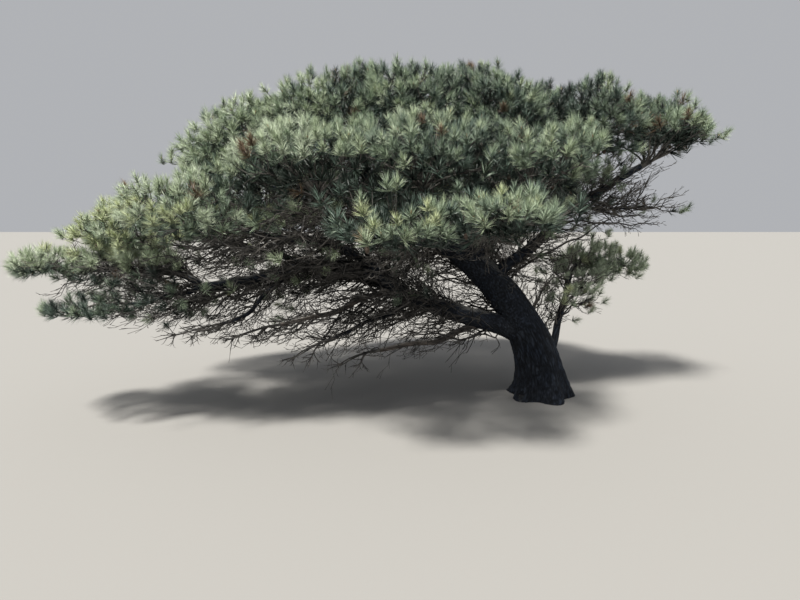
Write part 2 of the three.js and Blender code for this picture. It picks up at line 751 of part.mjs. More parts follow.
const wood = new THREE.Group();
const bareLimbs = Object.values(MASSES).filter((mass) => mass.bare).map((mass) => mass.bough);
for (const [name, made] of Object.entries(limbSolids())) {
  add(wood, name, made, bareLimbs.includes(name) ? DEAD_WOOD : BARK);
}

const foliage = new THREE.Group();
for (const [name, mass] of Object.entries(masses)) {
  add(foliage, name, massSolid(name, mass), mass.bare ? DEAD_WOOD : NEEDLES);
}

tree.add(wood, foliage);

export default tree;
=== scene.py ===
# A windswept pine: trunk and boughs with furrowed bark, branches and twigs that grow on from them to
# tufts of long needles, and a lattice of bare twigs under the crown. Metres, +Z up, +X to windward.

import json
import math
from itertools import product
from types import SimpleNamespace as Named

import bpy
import numpy as np
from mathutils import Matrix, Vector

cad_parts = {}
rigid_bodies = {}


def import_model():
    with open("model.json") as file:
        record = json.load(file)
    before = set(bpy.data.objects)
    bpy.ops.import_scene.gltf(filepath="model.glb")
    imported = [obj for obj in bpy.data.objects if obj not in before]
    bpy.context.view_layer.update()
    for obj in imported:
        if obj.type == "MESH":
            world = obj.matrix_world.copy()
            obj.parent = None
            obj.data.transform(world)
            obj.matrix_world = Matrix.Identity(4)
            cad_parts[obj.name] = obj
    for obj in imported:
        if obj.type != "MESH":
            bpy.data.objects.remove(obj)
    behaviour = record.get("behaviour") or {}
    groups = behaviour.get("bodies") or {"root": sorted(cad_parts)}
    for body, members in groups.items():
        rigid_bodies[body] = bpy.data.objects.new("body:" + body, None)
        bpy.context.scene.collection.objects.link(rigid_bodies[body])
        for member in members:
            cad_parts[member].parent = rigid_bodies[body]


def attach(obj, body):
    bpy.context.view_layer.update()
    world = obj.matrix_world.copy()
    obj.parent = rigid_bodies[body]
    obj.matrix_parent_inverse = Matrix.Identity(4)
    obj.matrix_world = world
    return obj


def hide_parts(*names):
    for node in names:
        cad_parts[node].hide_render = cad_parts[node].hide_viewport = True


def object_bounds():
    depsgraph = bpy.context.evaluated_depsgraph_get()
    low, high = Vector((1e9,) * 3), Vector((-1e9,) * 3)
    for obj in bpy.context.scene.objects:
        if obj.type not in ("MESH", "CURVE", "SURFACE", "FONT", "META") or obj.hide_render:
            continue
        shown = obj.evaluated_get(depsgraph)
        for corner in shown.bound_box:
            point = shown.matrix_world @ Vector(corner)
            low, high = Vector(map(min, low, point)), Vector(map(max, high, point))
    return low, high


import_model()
cad_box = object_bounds()

# Driving sizes

SEED = 41

TRUNK = Named(
    tip=(-1.95, 0.05, 2.62), leave=(180, 90), arrive=(178, 26), radius=(0.345, 0.120), taper=0.8,
    flare=0.130, flare_height=0.330, roots=5, buttress=0.16,
)

# Each limb: the limb that it grows from, where on it, its tip, its direction where it leaves and where
# it ends as degrees round and degrees above level, its radius at both ends, and how far it wanders.
LIMBS = {
    "low": ("trunk", 0.27, (-2.45, -0.6, 1.95), (184, 35), (186, 50), (0.165, 0.092), 0.02),
    "long": ("low", 0.96, (-4.85, -1.2, 1.82), (188, 34), (186, -3), (0.078, 0.052), 0.03),
    "left_tip": ("long", 0.96, (-6.38, -1.2, 2.06), (176, 38), (182, 8), (0.044, 0.024), 0.035),
    "left_low": ("long", 0.9, (-5.65, -1.48, 1.65), (196, -4), (182, 4), (0.034, 0.018), 0.025),
    "left_upper": ("left_tip", 0.22, (-5.48, -0.98, 2.32), (160, 55), (176, 22), (0.034, 0.022), 0.015),
    "left_rear": ("low", 0.84, (-4.85, 0.42, 2.33), (166, 16), (170, 14), (0.058, 0.026), 0.045),
    "rising": ("low", 0.97, (-4.25, -1.48, 2.62), (194, 52), (190, 18), (0.062, 0.03), 0.04),
    "leader": ("trunk", 0.97, (-3.0, -0.33, 3.76), (182, 36), (170, 52), (0.104, 0.044), 0.04),
    "shoulder": ("leader", 0.42, (-4.15, -0.42, 3.22), (186, 24), (180, 26), (0.062, 0.032), 0.04),
    "crest": ("trunk", 0.9, (-2.05, -0.22, 3.88), (210, 66), (120, 80), (0.076, 0.038), 0.05),
    "crown": ("trunk", 0.76, (-0.96, -0.15, 3.82), (60, 68), (90, 78), (0.078, 0.038), 0.045),
    "windward": ("trunk", 0.6, (1.45, 0.22, 3.48), (2, 38), (4, 26), (0.092, 0.044), 0.06),
    "windward_top": ("windward", 0.5, (0.38, 0.04, 3.72), (120, 72), (90, 76), (0.052, 0.032), 0.03),
    "windward_low": ("windward", 0.58, (1.42, 0.26, 2.87), (4, -8), (2, 6), (0.026, 0.013), 0.025),
    "side": ("trunk", 0.12, (0.76, 0.96, 1.96), (22, 42), (50, 24), (0.066, 0.03), 0.03),
    "front_left": ("leader", 0.3, (-3.08, -1.62, 2.9), (236, 16), (256, 28), (0.056, 0.03), 0.04),
    "front": ("trunk", 0.95, (-1.9, -1.62, 2.96), (268, 36), (270, 30), (0.062, 0.032), 0.04),
    "front_right": ("trunk", 0.8, (-0.62, -1.48, 2.9), (304, 44), (282, 32), (0.06, 0.032), 0.04),
    "near_left": ("trunk", 0.88, (-2.02, -2.26, 2.48), (262, 8), (262, 14), (0.046, 0.024), 0.04),
    "near_right": ("trunk", 0.72, (-1.06, -2.25, 2.58), (278, 26), (272, 14), (0.046, 0.024), 0.04),
    "rear_shoulder": ("leader", 0.36, (-4.3, 0.9, 2.76), (150, 8), (168, 22), (0.05, 0.028), 0.045),
    "rear_left": ("leader", 0.55, (-3.15, 1.18, 3.18), (112, 22), (104, 30), (0.05, 0.03), 0.035),
    "rear": ("trunk", 0.93, (-1.76, 1.48, 3.26), (88, 40), (90, 36), (0.062, 0.032), 0.04),
    "rear_right": ("trunk", 0.68, (-0.25, 1.38, 3.08), (58, 42), (84, 34), (0.06, 0.032), 0.04),
    "far_left": ("trunk", 0.86, (-2.5, 2.12, 2.42), (118, 6), (104, 10), (0.048, 0.024), 0.045),
    "far_right": ("trunk", 0.64, (-0.72, 2.18, 2.32), (84, 12), (92, 8), (0.048, 0.024), 0.045),
    "drooping": ("low", 0.88, (-3.7, -1.42, 1.37), (200, -14), (190, -8), (0.044, 0.022), 0.03),
    "hanging": ("low", 0.74, (-3.05, -1.18, 1.15), (206, -20), (200, -18), (0.038, 0.02), 0.03),
    "trailing": ("long", 0.5, (-4.45, -1.5, 1.39), (212, -30), (184, -10), (0.034, 0.018), 0.03),
    "dead": ("low", 0.3, (-2.45, -1.02, 0.94), (196, -24), (190, -8), (0.046, 0.026), 0.035),
}
DEAD_LIMBS = ("drooping", "dead")
OTHER_NODES = {"trunk": "trunk", "leader": "leader", "side": "side_stem"}  # those not named ..._bough
LIMB = Named(
    handle=0.35, phase=0.37, windings=1.6, collar=0.28, collar_length=1.6, least_rings=8,
    measured=201, compared=120,  # points on a line for its length, and for which rings are in the parent
    steep=0.9,  # the upward part of a direction from which X serves for sideways instead of up
    buried=0.55,  # how deep in its parent a limb's skin starts, for the parent's radius
)

# The mass at each bough's end: the middle and half-sizes of its pad, what it is like, and how far down its
# tufts go in degrees from straight up.
MASSES = {
    "left_tip": ((-6.88, -1.19, 2.17), (0.48, 0.56, 0.3), "open", 120),
    "left_low": ((-6.12, -1.51, 1.66), (0.6, 0.5, 0.23), "open", 98),
    "left_upper": ((-5.9, -0.9, 2.56), (0.7, 0.76, 0.43), "dense", 92),
    "left_rear": ((-5.35, 0.62, 2.58), (0.88, 0.82, 0.48), "dense", 88),
    "rising": ((-4.65, -1.72, 2.8), (0.88, 0.86, 0.52), "dense", 93),
    "leader": ((-3.18, -0.38, 4.06), (1.08, 1.15, 0.68), "dense", 120),
    "shoulder": ((-4.24, -0.42, 3.69), (1.02, 1.1, 0.65), "dense", 112),
    "crest": ((-2.05, -0.26, 4.26), (0.95, 1.15, 0.62), "dense", 120),
    "crown": ((-0.85, -0.18, 4.23), (0.95, 1.15, 0.64), "dense", 120),
    "windward": ((1.7, 0.18, 3.98), (0.95, 0.9, 0.5), "dense", 89),
    "windward_top": ((0.42, 0.02, 4.12), (0.98, 1.15, 0.64), "dense", 104),
    "windward_low": ((1.88, 0.29, 2.94), (0.43, 0.42, 0.21), "open", 120),
    "side": ((1.25, 1.23, 2.0), (0.84, 0.6, 0.4), "open", 120),
    "front_left": ((-3.18, -1.85, 3.23), (1.0, 0.9, 0.58), "dense", 73),
    "front": ((-1.88, -1.88, 3.32), (0.95, 0.9, 0.58), "dense", 84),
    "front_right": ((-0.45, -1.7, 3.32), (1.05, 0.95, 0.56), "dense", 87),
    "near_left": ((-2.22, -2.7, 2.64), (0.8, 0.62, 0.38), "dense", 90),
    "near_right": ((-1.05, -2.7, 2.76), (0.7, 0.62, 0.36), "dense", 86),
    "rear_shoulder": ((-4.5, 1.05, 3.0), (1.0, 0.9, 0.56), "dense", 120),
    "rear_left": ((-3.2, 1.45, 3.48), (1.0, 0.95, 0.6), "dense", 120),
    "rear": ((-1.78, 1.65, 3.6), (0.95, 0.95, 0.6), "dense", 120),
    "rear_right": ((-0.2, 1.55, 3.48), (1.05, 0.95, 0.6), "dense", 120),
    "far_left": ((-2.65, 2.5, 2.6), (0.95, 0.65, 0.45), "dense", 120),
    "far_right": ((-0.78, 2.55, 2.52), (0.95, 0.65, 0.45), "dense", 120),
    "drooping": ((-4.25, -1.56, 1.32), (0.56, 0.38, 0.17), "bare", 130),
    "hanging": ((-3.48, -1.33, 0.98), (0.46, 0.3, 0.15), "bare", 130),
    "trailing": ((-4.95, -1.56, 1.33), (0.46, 0.3, 0.13), "bare", 130),
    "dead": ((-2.95, -1.18, 0.86), (0.48, 0.3, 0.12), "bare", 130),
}
PAD = Named(
    wall_tilt=2.2, turn=0.618, stem=0.25, stem_least=0.17, least_tufts=6,
    blend=0.21,  # how softly the crown's domes run together
    blended=(-2, 4),  # how far in and out of a dome that goes on
    rays=(0.85, 2.0, 0.05),  # where along a ray the crown's skin is looked for
    lump=0.15, knob=0.05, ragged=0.03, sunk=0.02, scatter=0.04, inner_growth=0.8,
    overlap=0.03,  # how far past the partings between masses their outer tufts stand
    inner_overlap=0.20,
    valley=-0.30,  # where the crown's lobes meet, by the noise that raises them
    valley_thin=0.55,  # the share of tufts left out there
)

# The layers of tufts over a pad: how far out, as a share of its half-sizes, how far apart, and how much
# further down than the mass's own limit they go, in degrees, on most masses and on those thin below.
# The inner layers' needles take darker shades, painted shade, and the deep layer of a dense mass is a
# dark backing of painted shade inside the crown.
LAYERS = {
    "dense": ((1.0, 0.15, 0, 0), (0.78, 0.17, 36, 0), (0.52, 0.19, 60, 60)),
    "open": ((1.0, 0.15, 0, 0), (0.6, 0.2, 20, 20)),
    "bare": ((1.0, 0.15, 0, 0), (0.6, 0.18, 20, 20)),
}
THIN_BELOW = ("rising", "left_rear", "near_left", "near_right", "windward", "front_left", "front",
              "front_right")

# How the layers of a dense mass but the deep one come again: turned by this, and only where the crown's
# skin lies this far out for the mass's own dome.
AGAIN = ((0, 0), (0.5, 1.12), (0.25, 1.4))

# The columns of a tuft's row: its foot, the way it points, its size and how far out it is in its mass.
FOOT, WAY, SIZE, OUT = slice(0, 3), slice(3, 6), 6, 7
OUTER, DEEP = 0.9, 0.6  # beyond the first a tuft is an outer one, within the second a deep one

BEYOND = 0.10  # how far past the solids' box tufts may reach
TUFT = Named(
    reach=0.200,  # from where its needles start to their furthest tips
    shoot=0.090,  # the stretch of shoot that has needles
    sway=0.2,
    spread=0.14,  # of its size
    sizes=(0.7, 1.3), needle=0.135,
    needles=(0.80, 1.10),  # from the shortest to the longest, for that
    width=0.0052, pairs=60, inner_width=0.0120, inner_pairs=21,
    fork=0.07,  # how far the two needles of a pair part, for their length
    second=0.94,  # the length of the second of a pair, for the first's
    droop=(0, 0, -0.04), tip_angle=6, foot_angle=70, stray=8,
    crowd=0.85,  # below 1, more needles stand near the foot
    along=0.95,  # how much of the shoot has needles
    grown=0.4,  # how much of a needle's width grows with its tuft
)
TWIG = Named(
    radius=0.0052, share=0.43, stagger=0.6,
    ends=(0.12, 0.985),  # how near the ends of a line a side branch may leave it
    lift=0.80, lean=0.24,
    bare=(0.95, 0.535, 0.12),  # its girths from foot to tip, for its radius
    deep=(1.0, 0.6), outer=(1.0, 0.9, 0.5), points=3, sides=3,
)
STEM = Named(points=4, sides=8, taper=0.7, buried=0.01)

# The branches in a mass and those on them: the most tufts on one, how sharply it turns to them, how far it
# runs for their distance, and its mesh.
BRANCH = Named(most=22, turn=0.6, reach=0.78, stray=0.1, points=6, sides=5, taper=0.5)
BRANCHLET = Named(most=4, turn=0.8, reach=0.72, points=4, sides=3, taper=0.7)
WIDEST = 0.75  # a branch's radius at most, for its bough's

# The share of their tufts that thin masses go without, and how far a mass is drawn in.
SPARSE = {"left_tip": 0.26, "left_low": 0.44, "side": 0.34, "windward_low": 0.92}
DRAWN_IN = {"left_tip": (0.09, 0.0, 0.0)}

# The gap between the two front tiers, as a middle and half-sizes. The masses just below it are drawn in
# there, and the others are empty.
GAP = ((-1.12, -2.6, 3.15), (1.0, 0.9, 0.19))
JUST_BELOW = ("near_left", "near_right")
GAP_DEPTH = 0.73

# Hollows in the crown, where no tufts stand: middle and half-sizes.
HOLLOWS = (
    ((0.4, -1.9, 3.24), (0.5, 0.55, 0.13)),
    ((-3.05, -2.6, 2.62), (0.62, 0.85, 0.6)),
    ((-0.22, -2.7, 2.72), (0.42, 0.8, 0.45)),
    ((-0.05, -1.7, 3.47), (0.48, 0.55, 0.11)),
    ((0.62, -1.25, 3.69), (0.5, 0.5, 0.11)),
    ((0.74, -1.1, 3.41), (0.55, 0.75, 0.19)),
)

# Dents in the crown's outline: middle, half-sizes, and how far out tufts stand there, for where they would.
DENTS = (
    ((-5.36, -0.5, 4.06), (0.46, 1.2, 0.46), 0.73),
    ((-4.24, -0.4, 4.74), (0.8, 1.4, 0.42), 0.73),
    ((1.12, -0.2, 4.7), (0.36, 1.2, 0.38), 0.73),
    ((2.5, -0.1, 4.46), (0.66, 1.4, 0.44), 0.73),
    ((0.46, -2.05, 3.48), (0.52, 0.85, 0.4), 0.55),
    ((-5.62, -0.8, 3.28), (0.32, 1.0, 0.24), 0.73),
    ((-0.15, -0.2, 4.88), (0.6, 1.3, 0.3), 0.87),
    ((1.55, 0.0, 4.58), (0.22, 1.2, 0.3), 0.8),
)

# Leading shoots that stand clear of the crown: where the tips of those on each mass are.
LEADING = {
    "leader": ((-2.73, -0.6, 4.9), (-3.39, -0.5, 4.82)),
    "crown": ((-0.84, -0.4, 4.93),),
    "windward": ((1.87, 0.1, 4.64), (1.63, 0.1, 4.56)),
    "shoulder": ((-4.85, -0.5, 4.27), (-5.4, -0.7, 3.62), (-5.3, -0.62, 3.73), (-5.23, -0.82, 3.61),
                 (-5.12, -0.7, 3.76)),
    "left_upper": ((-6.09, -1.0, 3.05), (-6.62, -1.1, 2.62)),
    "windward_top": ((0.71, 0.0, 4.88),),
    "crest": ((-2.22, -0.5, 4.96),),
}
LEADING_WAY = (-0.12, -0.05, 1.0)
LEADING_SIZE = 0.95

# Noise over the crown: its changes to the metre and its seed.
NOISE = {"lobes": (1.7, 77), "knobs": (4.3, 78), "fine": (4.1, 62), "dry": (1.1, 63)}

# The first seed of each kind of random draws.
SEEDS = Named(sprays=500, sticks=700, candles=800, cones=801, shades=900, needles=1000)

UP = np.array((0.0, 0.0, 1.0))
ASKEW = UP + (0.31, 0.17, 0)
GOLDEN = math.pi * (3 - math.sqrt(5))
CAD_LOW, CAD_HIGH = np.array(cad_box)


# Shared helpers

def seeded(start, *more):
    return np.random.default_rng([SEED, start, *more])


def unit(v):
    return v / np.maximum(np.linalg.norm(v, axis=-1, keepdims=True), 1e-12)


def heading(pair):
    a, e = map(math.radians, pair)
    return np.array((math.cos(a) * math.cos(e), math.sin(a) * math.cos(e), math.sin(e)))


def bezier(p0, p1, p2, p3, t):
    t = np.asarray(t)[..., None]
    return (1 - t) ** 3 * p0 + 3 * t * (1 - t) ** 2 * p1 + 3 * t * t * (1 - t) * p2 + t ** 3 * p3


def hashed(cells, seed):
    """Three even random numbers for each whole-numbered cell of space, by large multipliers."""
    x, y, z = (cells[..., i].astype(np.int64) & 0xFFFFFFFF for i in range(3))
    out = []
    for k in range(3):
        h = (x * 73856093 ^ y * 19349663 ^ z * 83492791 ^ (seed + k) * 2654435761) & 0xFFFFFFFF
        for shift in (16, 15):
            h = ((h >> shift) ^ h) * 0x45D9F3B & 0xFFFFFFFF
        out.append(((h >> 16) ^ h) / 2 ** 32)
    return np.stack(out, -1)


def cell_edges(q, seed):
    """How much further each point's second-nearest scattered seed is than its nearest: 0 on the edges."""
    base = np.floor(q)
    first = second = np.full(len(q), np.inf)
    for step in product((-1, 0, 1), repeat=3):
        cell = base + step
        far = np.linalg.norm(cell + hashed(cell, seed) - q, axis=1)
        second = np.minimum(second, np.maximum(first, far))
        first = np.minimum(first, far)
    return second - first


def noise(q, seed):
    """Smooth noise from -1 to 1."""
    base = np.floor(q)
    f = q - base
    f = f * f * (3 - 2 * f)
    total = np.zeros(len(q))
    for corner in product((0, 1), repeat=3):
        weight = np.prod(np.where(corner, f, 1 - f), axis=1)
        total += weight * hashed(base + corner, seed)[:, 0]
    return 2 * total - 1


def crown_noise(name, places):
    to_metre, seed = NOISE[name]
    return noise(places * to_metre, seed)


def in_box(places, low, high):
    return ((places > low) & (places < high)).all(1)


def in_rounds(rounds, places):
    """Which places are inside any of some rounds, each a middle and half-sizes."""
    inside = np.zeros(len(places), bool)
    for middle, half in rounds:
        inside |= np.linalg.norm((places - middle) / half, axis=1) < 1
    return inside


def sides_of(axis):
    side = unit(np.cross(axis, ASKEW))
    return side, np.cross(axis, side)


def rings_at(centre, reach, angle, across, third):
    """Points round each centre, at each reach and angle."""
    return (centre[..., None, :] + (reach * np.cos(angle))[..., None] * across[..., None, :]
            + (reach * np.sin(angle))[..., None] * third[..., None, :])


def tube_faces(count, rings, sides):
    """The faces of so many open tubes, each with so many rings of so many points."""
    n, k, i = np.meshgrid(np.arange(count), np.arange(rings - 1), np.arange(sides), indexing="ij")
    ring = (n * rings + k) * sides
    a, b = (ring + i).ravel(), (ring + (i + 1) % sides).ravel()
    return np.stack([a, b, b + sides, a + sides], 1)


def joined(parts):
    """Several meshes as one: places, faces, and what else they have for each place."""
    shift = np.cumsum([0] + [len(part[0]) for part in parts])
    places, faces, *others = zip(*parts)
    faces = np.concatenate([its + at for its, at in zip(faces, shift)])
    return (np.concatenate(places), faces, *map(np.concatenate, others))


def in_scene(name, data):
    made = bpy.data.objects.new(name, data)
    bpy.context.scene.collection.objects.link(made)
    return made


def add_piece(name, nodes, material, mesh_arrays):
    """One piece of the tree: the CAD nodes that it replaces, its material and its mesh."""
    places, faces, *bark_values = mesh_arrays
    mesh = bpy.data.meshes.new(name)
    mesh.vertices.add(len(places))
    mesh.vertices.foreach_set("co", np.asarray(places, np.float32).ravel())
    mesh.loops.add(faces.size)
    mesh.loops.foreach_set("vertex_index", np.asarray(faces, np.int32).ravel())
    mesh.polygons.add(len(faces))
    mesh.polygons.foreach_set("loop_start", np.arange(0, faces.size, faces.shape[1], dtype=np.int32))
    mesh.polygons.foreach_set("use_smooth", np.ones(len(faces), bool))
    mesh.update(calc_edges=True)
    kinds = (("grain", "FLOAT_VECTOR", "vector"), ("furrow", "FLOAT", "value"))
    for (key, kind, field), data in zip(kinds, bark_values):
        made = mesh.attributes.new(key, kind, "POINT")
        made.data.foreach_set(field, np.asarray(data, np.float32).ravel())
    mesh.materials.append(material)
    piece = in_scene(name, mesh)
    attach(piece, "root")
    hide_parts(*nodes)


# Limbs

class Limb:
    """A limb's line, which wanders a little about a curve, and its radius along it."""

    def __init__(self, name, order, parent, at, tip, leave, arrive, radius, wander):
        self.name, self.parent, self.radius, self.wander = name, parent, radius, wander
        self.leave, self.arrive = heading(leave), heading(arrive)
        start, end = parent.along(at) if parent else np.zeros(3), np.array(tip)
        reach = np.linalg.norm(end - start) * LIMB.handle
        self.points = (start, start + self.leave * reach, end - self.arrive * reach, end)
        self.phase = LIMB.phase * order % 1
        fine = bezier(*self.points, np.linspace(0, 1, LIMB.measured))
        self.length = np.linalg.norm(np.diff(fine, axis=0), axis=1).sum()
        self.taper, self.collar, self.collar_length = (
            (1, LIMB.collar * radius[0], LIMB.collar_length * radius[0]) if parent
            else (TRUNK.taper, TRUNK.flare, TRUNK.flare_height))

    def along(self, t):
        t = np.asarray(t, float)
        place = bezier(*self.points, t)
        if not self.wander:
            return place
        chord = unit(self.points[3] - self.points[0])
        side = unit(np.cross(chord, UP))
        over = np.cross(side, chord)
        wave = self.wander * np.sin(math.pi * t) ** 2
        turn = 2 * math.pi * (LIMB.windings * t + self.phase)
        return place + (wave * np.sin(turn))[..., None] * side + (wave * np.cos(turn))[..., None] * over

    def radius_at(self, t):
        thick, thin = self.radius
        plain = thin + (thick - thin) * (1 - t) ** self.taper
        return plain + self.collar * np.exp(-t * self.length / self.collar_length)

    def tangent(self, t):
        t = np.asarray(t, float)
        return unit(self.along(np.minimum(t + 1e-3, 1)) - self.along(np.maximum(t - 1e-3, 0)))


limbs = {"trunk": Limb("trunk", 0, None, 0, TRUNK.tip, TRUNK.leave, TRUNK.arrive, TRUNK.radius, 0)}
for order, (name, (parent, *row)) in enumerate(LIMBS.items()):
    limbs[name] = Limb(name, order, limbs[parent], *row)

# The bark's relief: plates and depth for the limb's radius and their limits in metres, and the scale, bend
# and width of the broad and the narrow furrows.
BARK = Named(
    plate=(0.12, 0.011, 0.034), depth=(0.050, 0.0020, 0.016), long=(1, 1, 0.24),
    bend_scale=0.9, bend_along=0.6, edge=0.8,
    broad=(0.58, 0.62, 0.40), narrow=((1.35, 1.35, 1.9), 0.8, 0.38),
    grain_scale=(3.0, 3.0, 1.7), grain=0.22, split=0.45, split_in_deep=0.6,
    # The furrows' darkness is partly the bark's own colour and partly painted shade in the creases.
    dark=(0.85, 0.50, 0.12),  # the parts of the two kinds of furrows and of the grain in the colour
    lumps=((0.035, (5, 5, 2.2), 21), (0.02, (11, 11, 5), 22)),  # how high, scale and seed
    lift=0.004, shift=(3.7, 1.3, 0), seed=5,
)

# A limb's skin: from which radius it is so fine, its sides and how far apart its rings are.
SKINS = ((0.3, 230, 0.021), (0.12, 68, 0.022), (0.07, 28, 0.036), (0.04, 16, 0.055), (0, 12, 0.060))


def furrows(p, bend, shape, seed):
    """How far into a furrow each point is, from 0 on the plates to 1 at the bottom."""
    scale, bent, width = shape
    return 1 - np.clip(cell_edges(p * scale + bent * bend, seed) / width, 0, 1) ** BARK.edge


def relief(q, radius, seed):
    """Ridges that part and meet along the limb, split finer and cracked across: height and darkness."""
    part, *limits = BARK.plate
    p = q / np.clip(radius * part, *limits)[:, None] * BARK.long
    slow = p * BARK.bend_scale
    bend = np.stack([noise(slow, seed), noise(slow, seed + 7), BARK.bend_along * noise(slow, seed + 13)], 1)
    deep = furrows(p, bend, BARK.broad, seed)
    split = furrows(p, bend, BARK.narrow, seed + 3)
    grain = noise(p * BARK.grain_scale, seed + 5)
    height = -deep - BARK.split * split * (1 - BARK.split_in_deep * deep) + BARK.grain * grain
    part, *limits = BARK.depth
    # Darkest deep in the furrows: partly the bark's own colour, partly painted shade.
    in_deep, in_split, in_grain = BARK.dark
    dark = np.clip(in_deep * deep + in_split * split - in_grain * grain, 0, 1)
    return height * np.clip(radius * part, *limits), dark


def bark_skin(limb, sides, spacing, seed):
    """A limb's dense skin with the bark's relief. Its foot starts a little inside its parent."""
    t = np.linspace(0, 1, max(LIMB.least_rings, round(limb.length / spacing)) + 1)
    if limb.parent:
        u = np.linspace(0, 1, LIMB.compared)
        line, girth = limb.parent.along(u), limb.parent.radius_at(u)
        gap = np.linalg.norm(limb.along(t)[:, None] - line[None], axis=2) / girth
        inside = gap.min(1) < LIMB.buried
        t = t[int(np.argmin(inside)):] if inside[0] else t
    centre, way = limb.along(t), limb.tangent(t)
    if limb.parent is None:
        way[0] = UP
    side = np.array((1.0, 0, 0)) if abs(limb.leave[2]) > LIMB.steep else UP
    across = np.empty_like(way)
    for k, w in enumerate(way):
        side = unit(side - w * np.dot(side, w))
        across[k] = side
    angle = 2 * math.pi * np.arange(sides) / sides
    reach = np.repeat(limb.radius_at(t)[:, None], sides, 1)
    if limb.parent is None:
        fade = np.exp(-t * limb.length / TRUNK.flare_height)[:, None]
        reach = reach * (1 + TRUNK.buttress * fade * np.cos(TRUNK.roots * angle))
    run = np.repeat((t * limb.length)[:, None], sides, 1)
    q = np.stack([reach * np.cos(angle), reach * np.sin(angle), run], 2).reshape(-1, 3)
    q = q + np.multiply(BARK.shift, seed)
    height, dark = relief(q, reach.ravel(), seed)
    lump = sum(high * noise(q * scale, seed + more) for high, scale, more in BARK.lumps)
    reach = reach * (1 + lump.reshape(reach.shape)) + height.reshape(reach.shape) + BARK.lift
    places = rings_at(centre, reach, angle, across, np.cross(way, across)).reshape(-1, 3)
    if limb.parent is None:
        places[:sides, 2] = 0
        places[:, 2] = np.maximum(places[:, 2], 0)
    return places, tube_faces(1, len(t), sides), q, dark


def limb_skins(names):
    parts = []
    for name in names:
        sides, spacing = next(row[1:] for row in SKINS if limbs[name].radius[0] > row[0])
        parts.append(bark_skin(limbs[name], sides, spacing, BARK.seed + list(limbs).index(name)))
    return joined(parts)


# Branches and twigs, gathered as lines of points with a radius at each

# By what they are part of, their points and their sides.
lines = {}


def add_line(kind, points, radii, sides):
    lines.setdefault((kind, len(points), sides), []).append((points, radii))


def add_lines(kind, sides, bundles):
    """Adds bundles of lines, none of them too thin."""
    for line, girth in bundles:
        for points, radii in zip(line, girth.clip(SPRAY.thinnest)):
            add_line(kind, points, radii, sides)


def tubes(kind):
    """Every line of one kind as open tubes, the many together."""
    parts = []
    for (its_kind, length, sides), found in lines.items():
        if its_kind != kind:
            continue
        points, radii = map(np.array, zip(*found))
        way = unit(np.gradient(points, axis=1))
        steep = (np.abs(way[:, :1, 2]) > LIMB.steep)[..., None]
        side = np.where(steep, (1.0, 0, 0), UP) * np.ones_like(way)
        across = unit(side - way * (side * way).sum(2, keepdims=True))
        turned = np.abs(way[:, 0]) @ np.ones(3)
        angle = 2 * math.pi * np.arange(sides) / sides + turned[:, None, None]
        places = rings_at(points, radii[..., None], angle, across, np.cross(way, across))
        parts.append((places.reshape(-1, 3), tube_faces(len(points), length, sides)))
    return joined(parts)


def curve_to(start, way, end, arrive, count):
    """Points on a curve that leaves along one direction and arrives along another."""
    reach = np.linalg.norm(end - start) / 3
    return bezier(start, start + way * reach, end - arrive * reach, end, np.linspace(0, 1, count))


# Masses

class Mass:
    def __init__(self, order, bough, middle, half, kind, lowest):
        self.bough, self.kind, self.lowest = limbs[bough], kind, lowest
        self.middle, self.half = np.array(middle), np.array(half)
        self.turn = PAD.turn * order % 1
        self.node = f"{bough}_twigs" if kind == "bare" else f"{bough}_needles"


masses = [Mass(order, bough, *row) for order, (bough, row) in enumerate(MASSES.items())]


def keeps_in(mass, places, margin):
    """Which places lie on a mass's own side of the planes between it and the others."""
    inside = np.ones(len(places), bool)
    for other in masses:
        if other is not mass:
            way = other.middle - mass.middle
            mine, its = mass.half[:2].sum(), other.half[:2].sum()
            point = mass.middle + way * mine / (mine + its)
            inside &= (places - point) @ unit(way * (1, 1, PAD.wall_tilt)) < -margin
    return inside


def outside_crown(places):
    """How far outside the crown each place is, with the domes of the dense masses run together."""
    total = np.zeros(places.shape[:-1])
    for mass in masses:
        if mass.kind == "dense":
            way = places - mass.middle
            share = np.maximum(np.linalg.norm(way / mass.half, axis=-1), 1e-6)
            far = np.linalg.norm(way, axis=-1) * (1 - 1 / share)
            total += np.exp(-np.clip(far, *PAD.blended) / PAD.blend)
    return -PAD.blend * np.log(total)


def dome(count, turn, lowest):
    """Directions spread by the golden angle from straight up down to the lowest."""
    k = np.arange(count)
    height = 1 - (k + 0.5) / count * (1 - math.cos(math.radians(lowest)))
    flat = np.sqrt(1 - height ** 2)
    around = GOLDEN * k + 2 * math.pi * turn
    return np.stack([flat * np.cos(around), flat * np.sin(around), height], 1)


def area_of(half, lowest):
    """The area of a pad down to its lowest direction, by a near formula for such rounds."""
    a, b, c = half
    power = 1.6075
    mean = ((a * b) ** power + (a * c) ** power + (b * c) ** power) / 3
    return 4 * math.pi * mean ** (1 / power) * (1 - math.cos(math.radians(lowest))) / 2


def skin_places(mass, out):
    """Where rays from a mass's middle leave the crown, and how far that is for the mass's own dome."""
    if mass.kind != "dense":
        return mass.middle + out * mass.half, np.ones(len(out))
    steps = np.arange(*PAD.rays)
    ray = mass.middle + (out * mass.half)[:, None] * steps[:, None]
    clear = outside_crown(ray) > 0
    first = np.where(clear.any(1), clear.argmax(1), len(steps) - 1)
    return ray[np.arange(len(out)), first], steps[first]


def dents_and_hollows(mass, outer):
    if mass.bough.name not in JUST_BELOW:
        return DENTS, (*HOLLOWS, GAP)
    return (*DENTS, (*GAP, GAP_DEPTH)), HOLLOWS if outer else ()


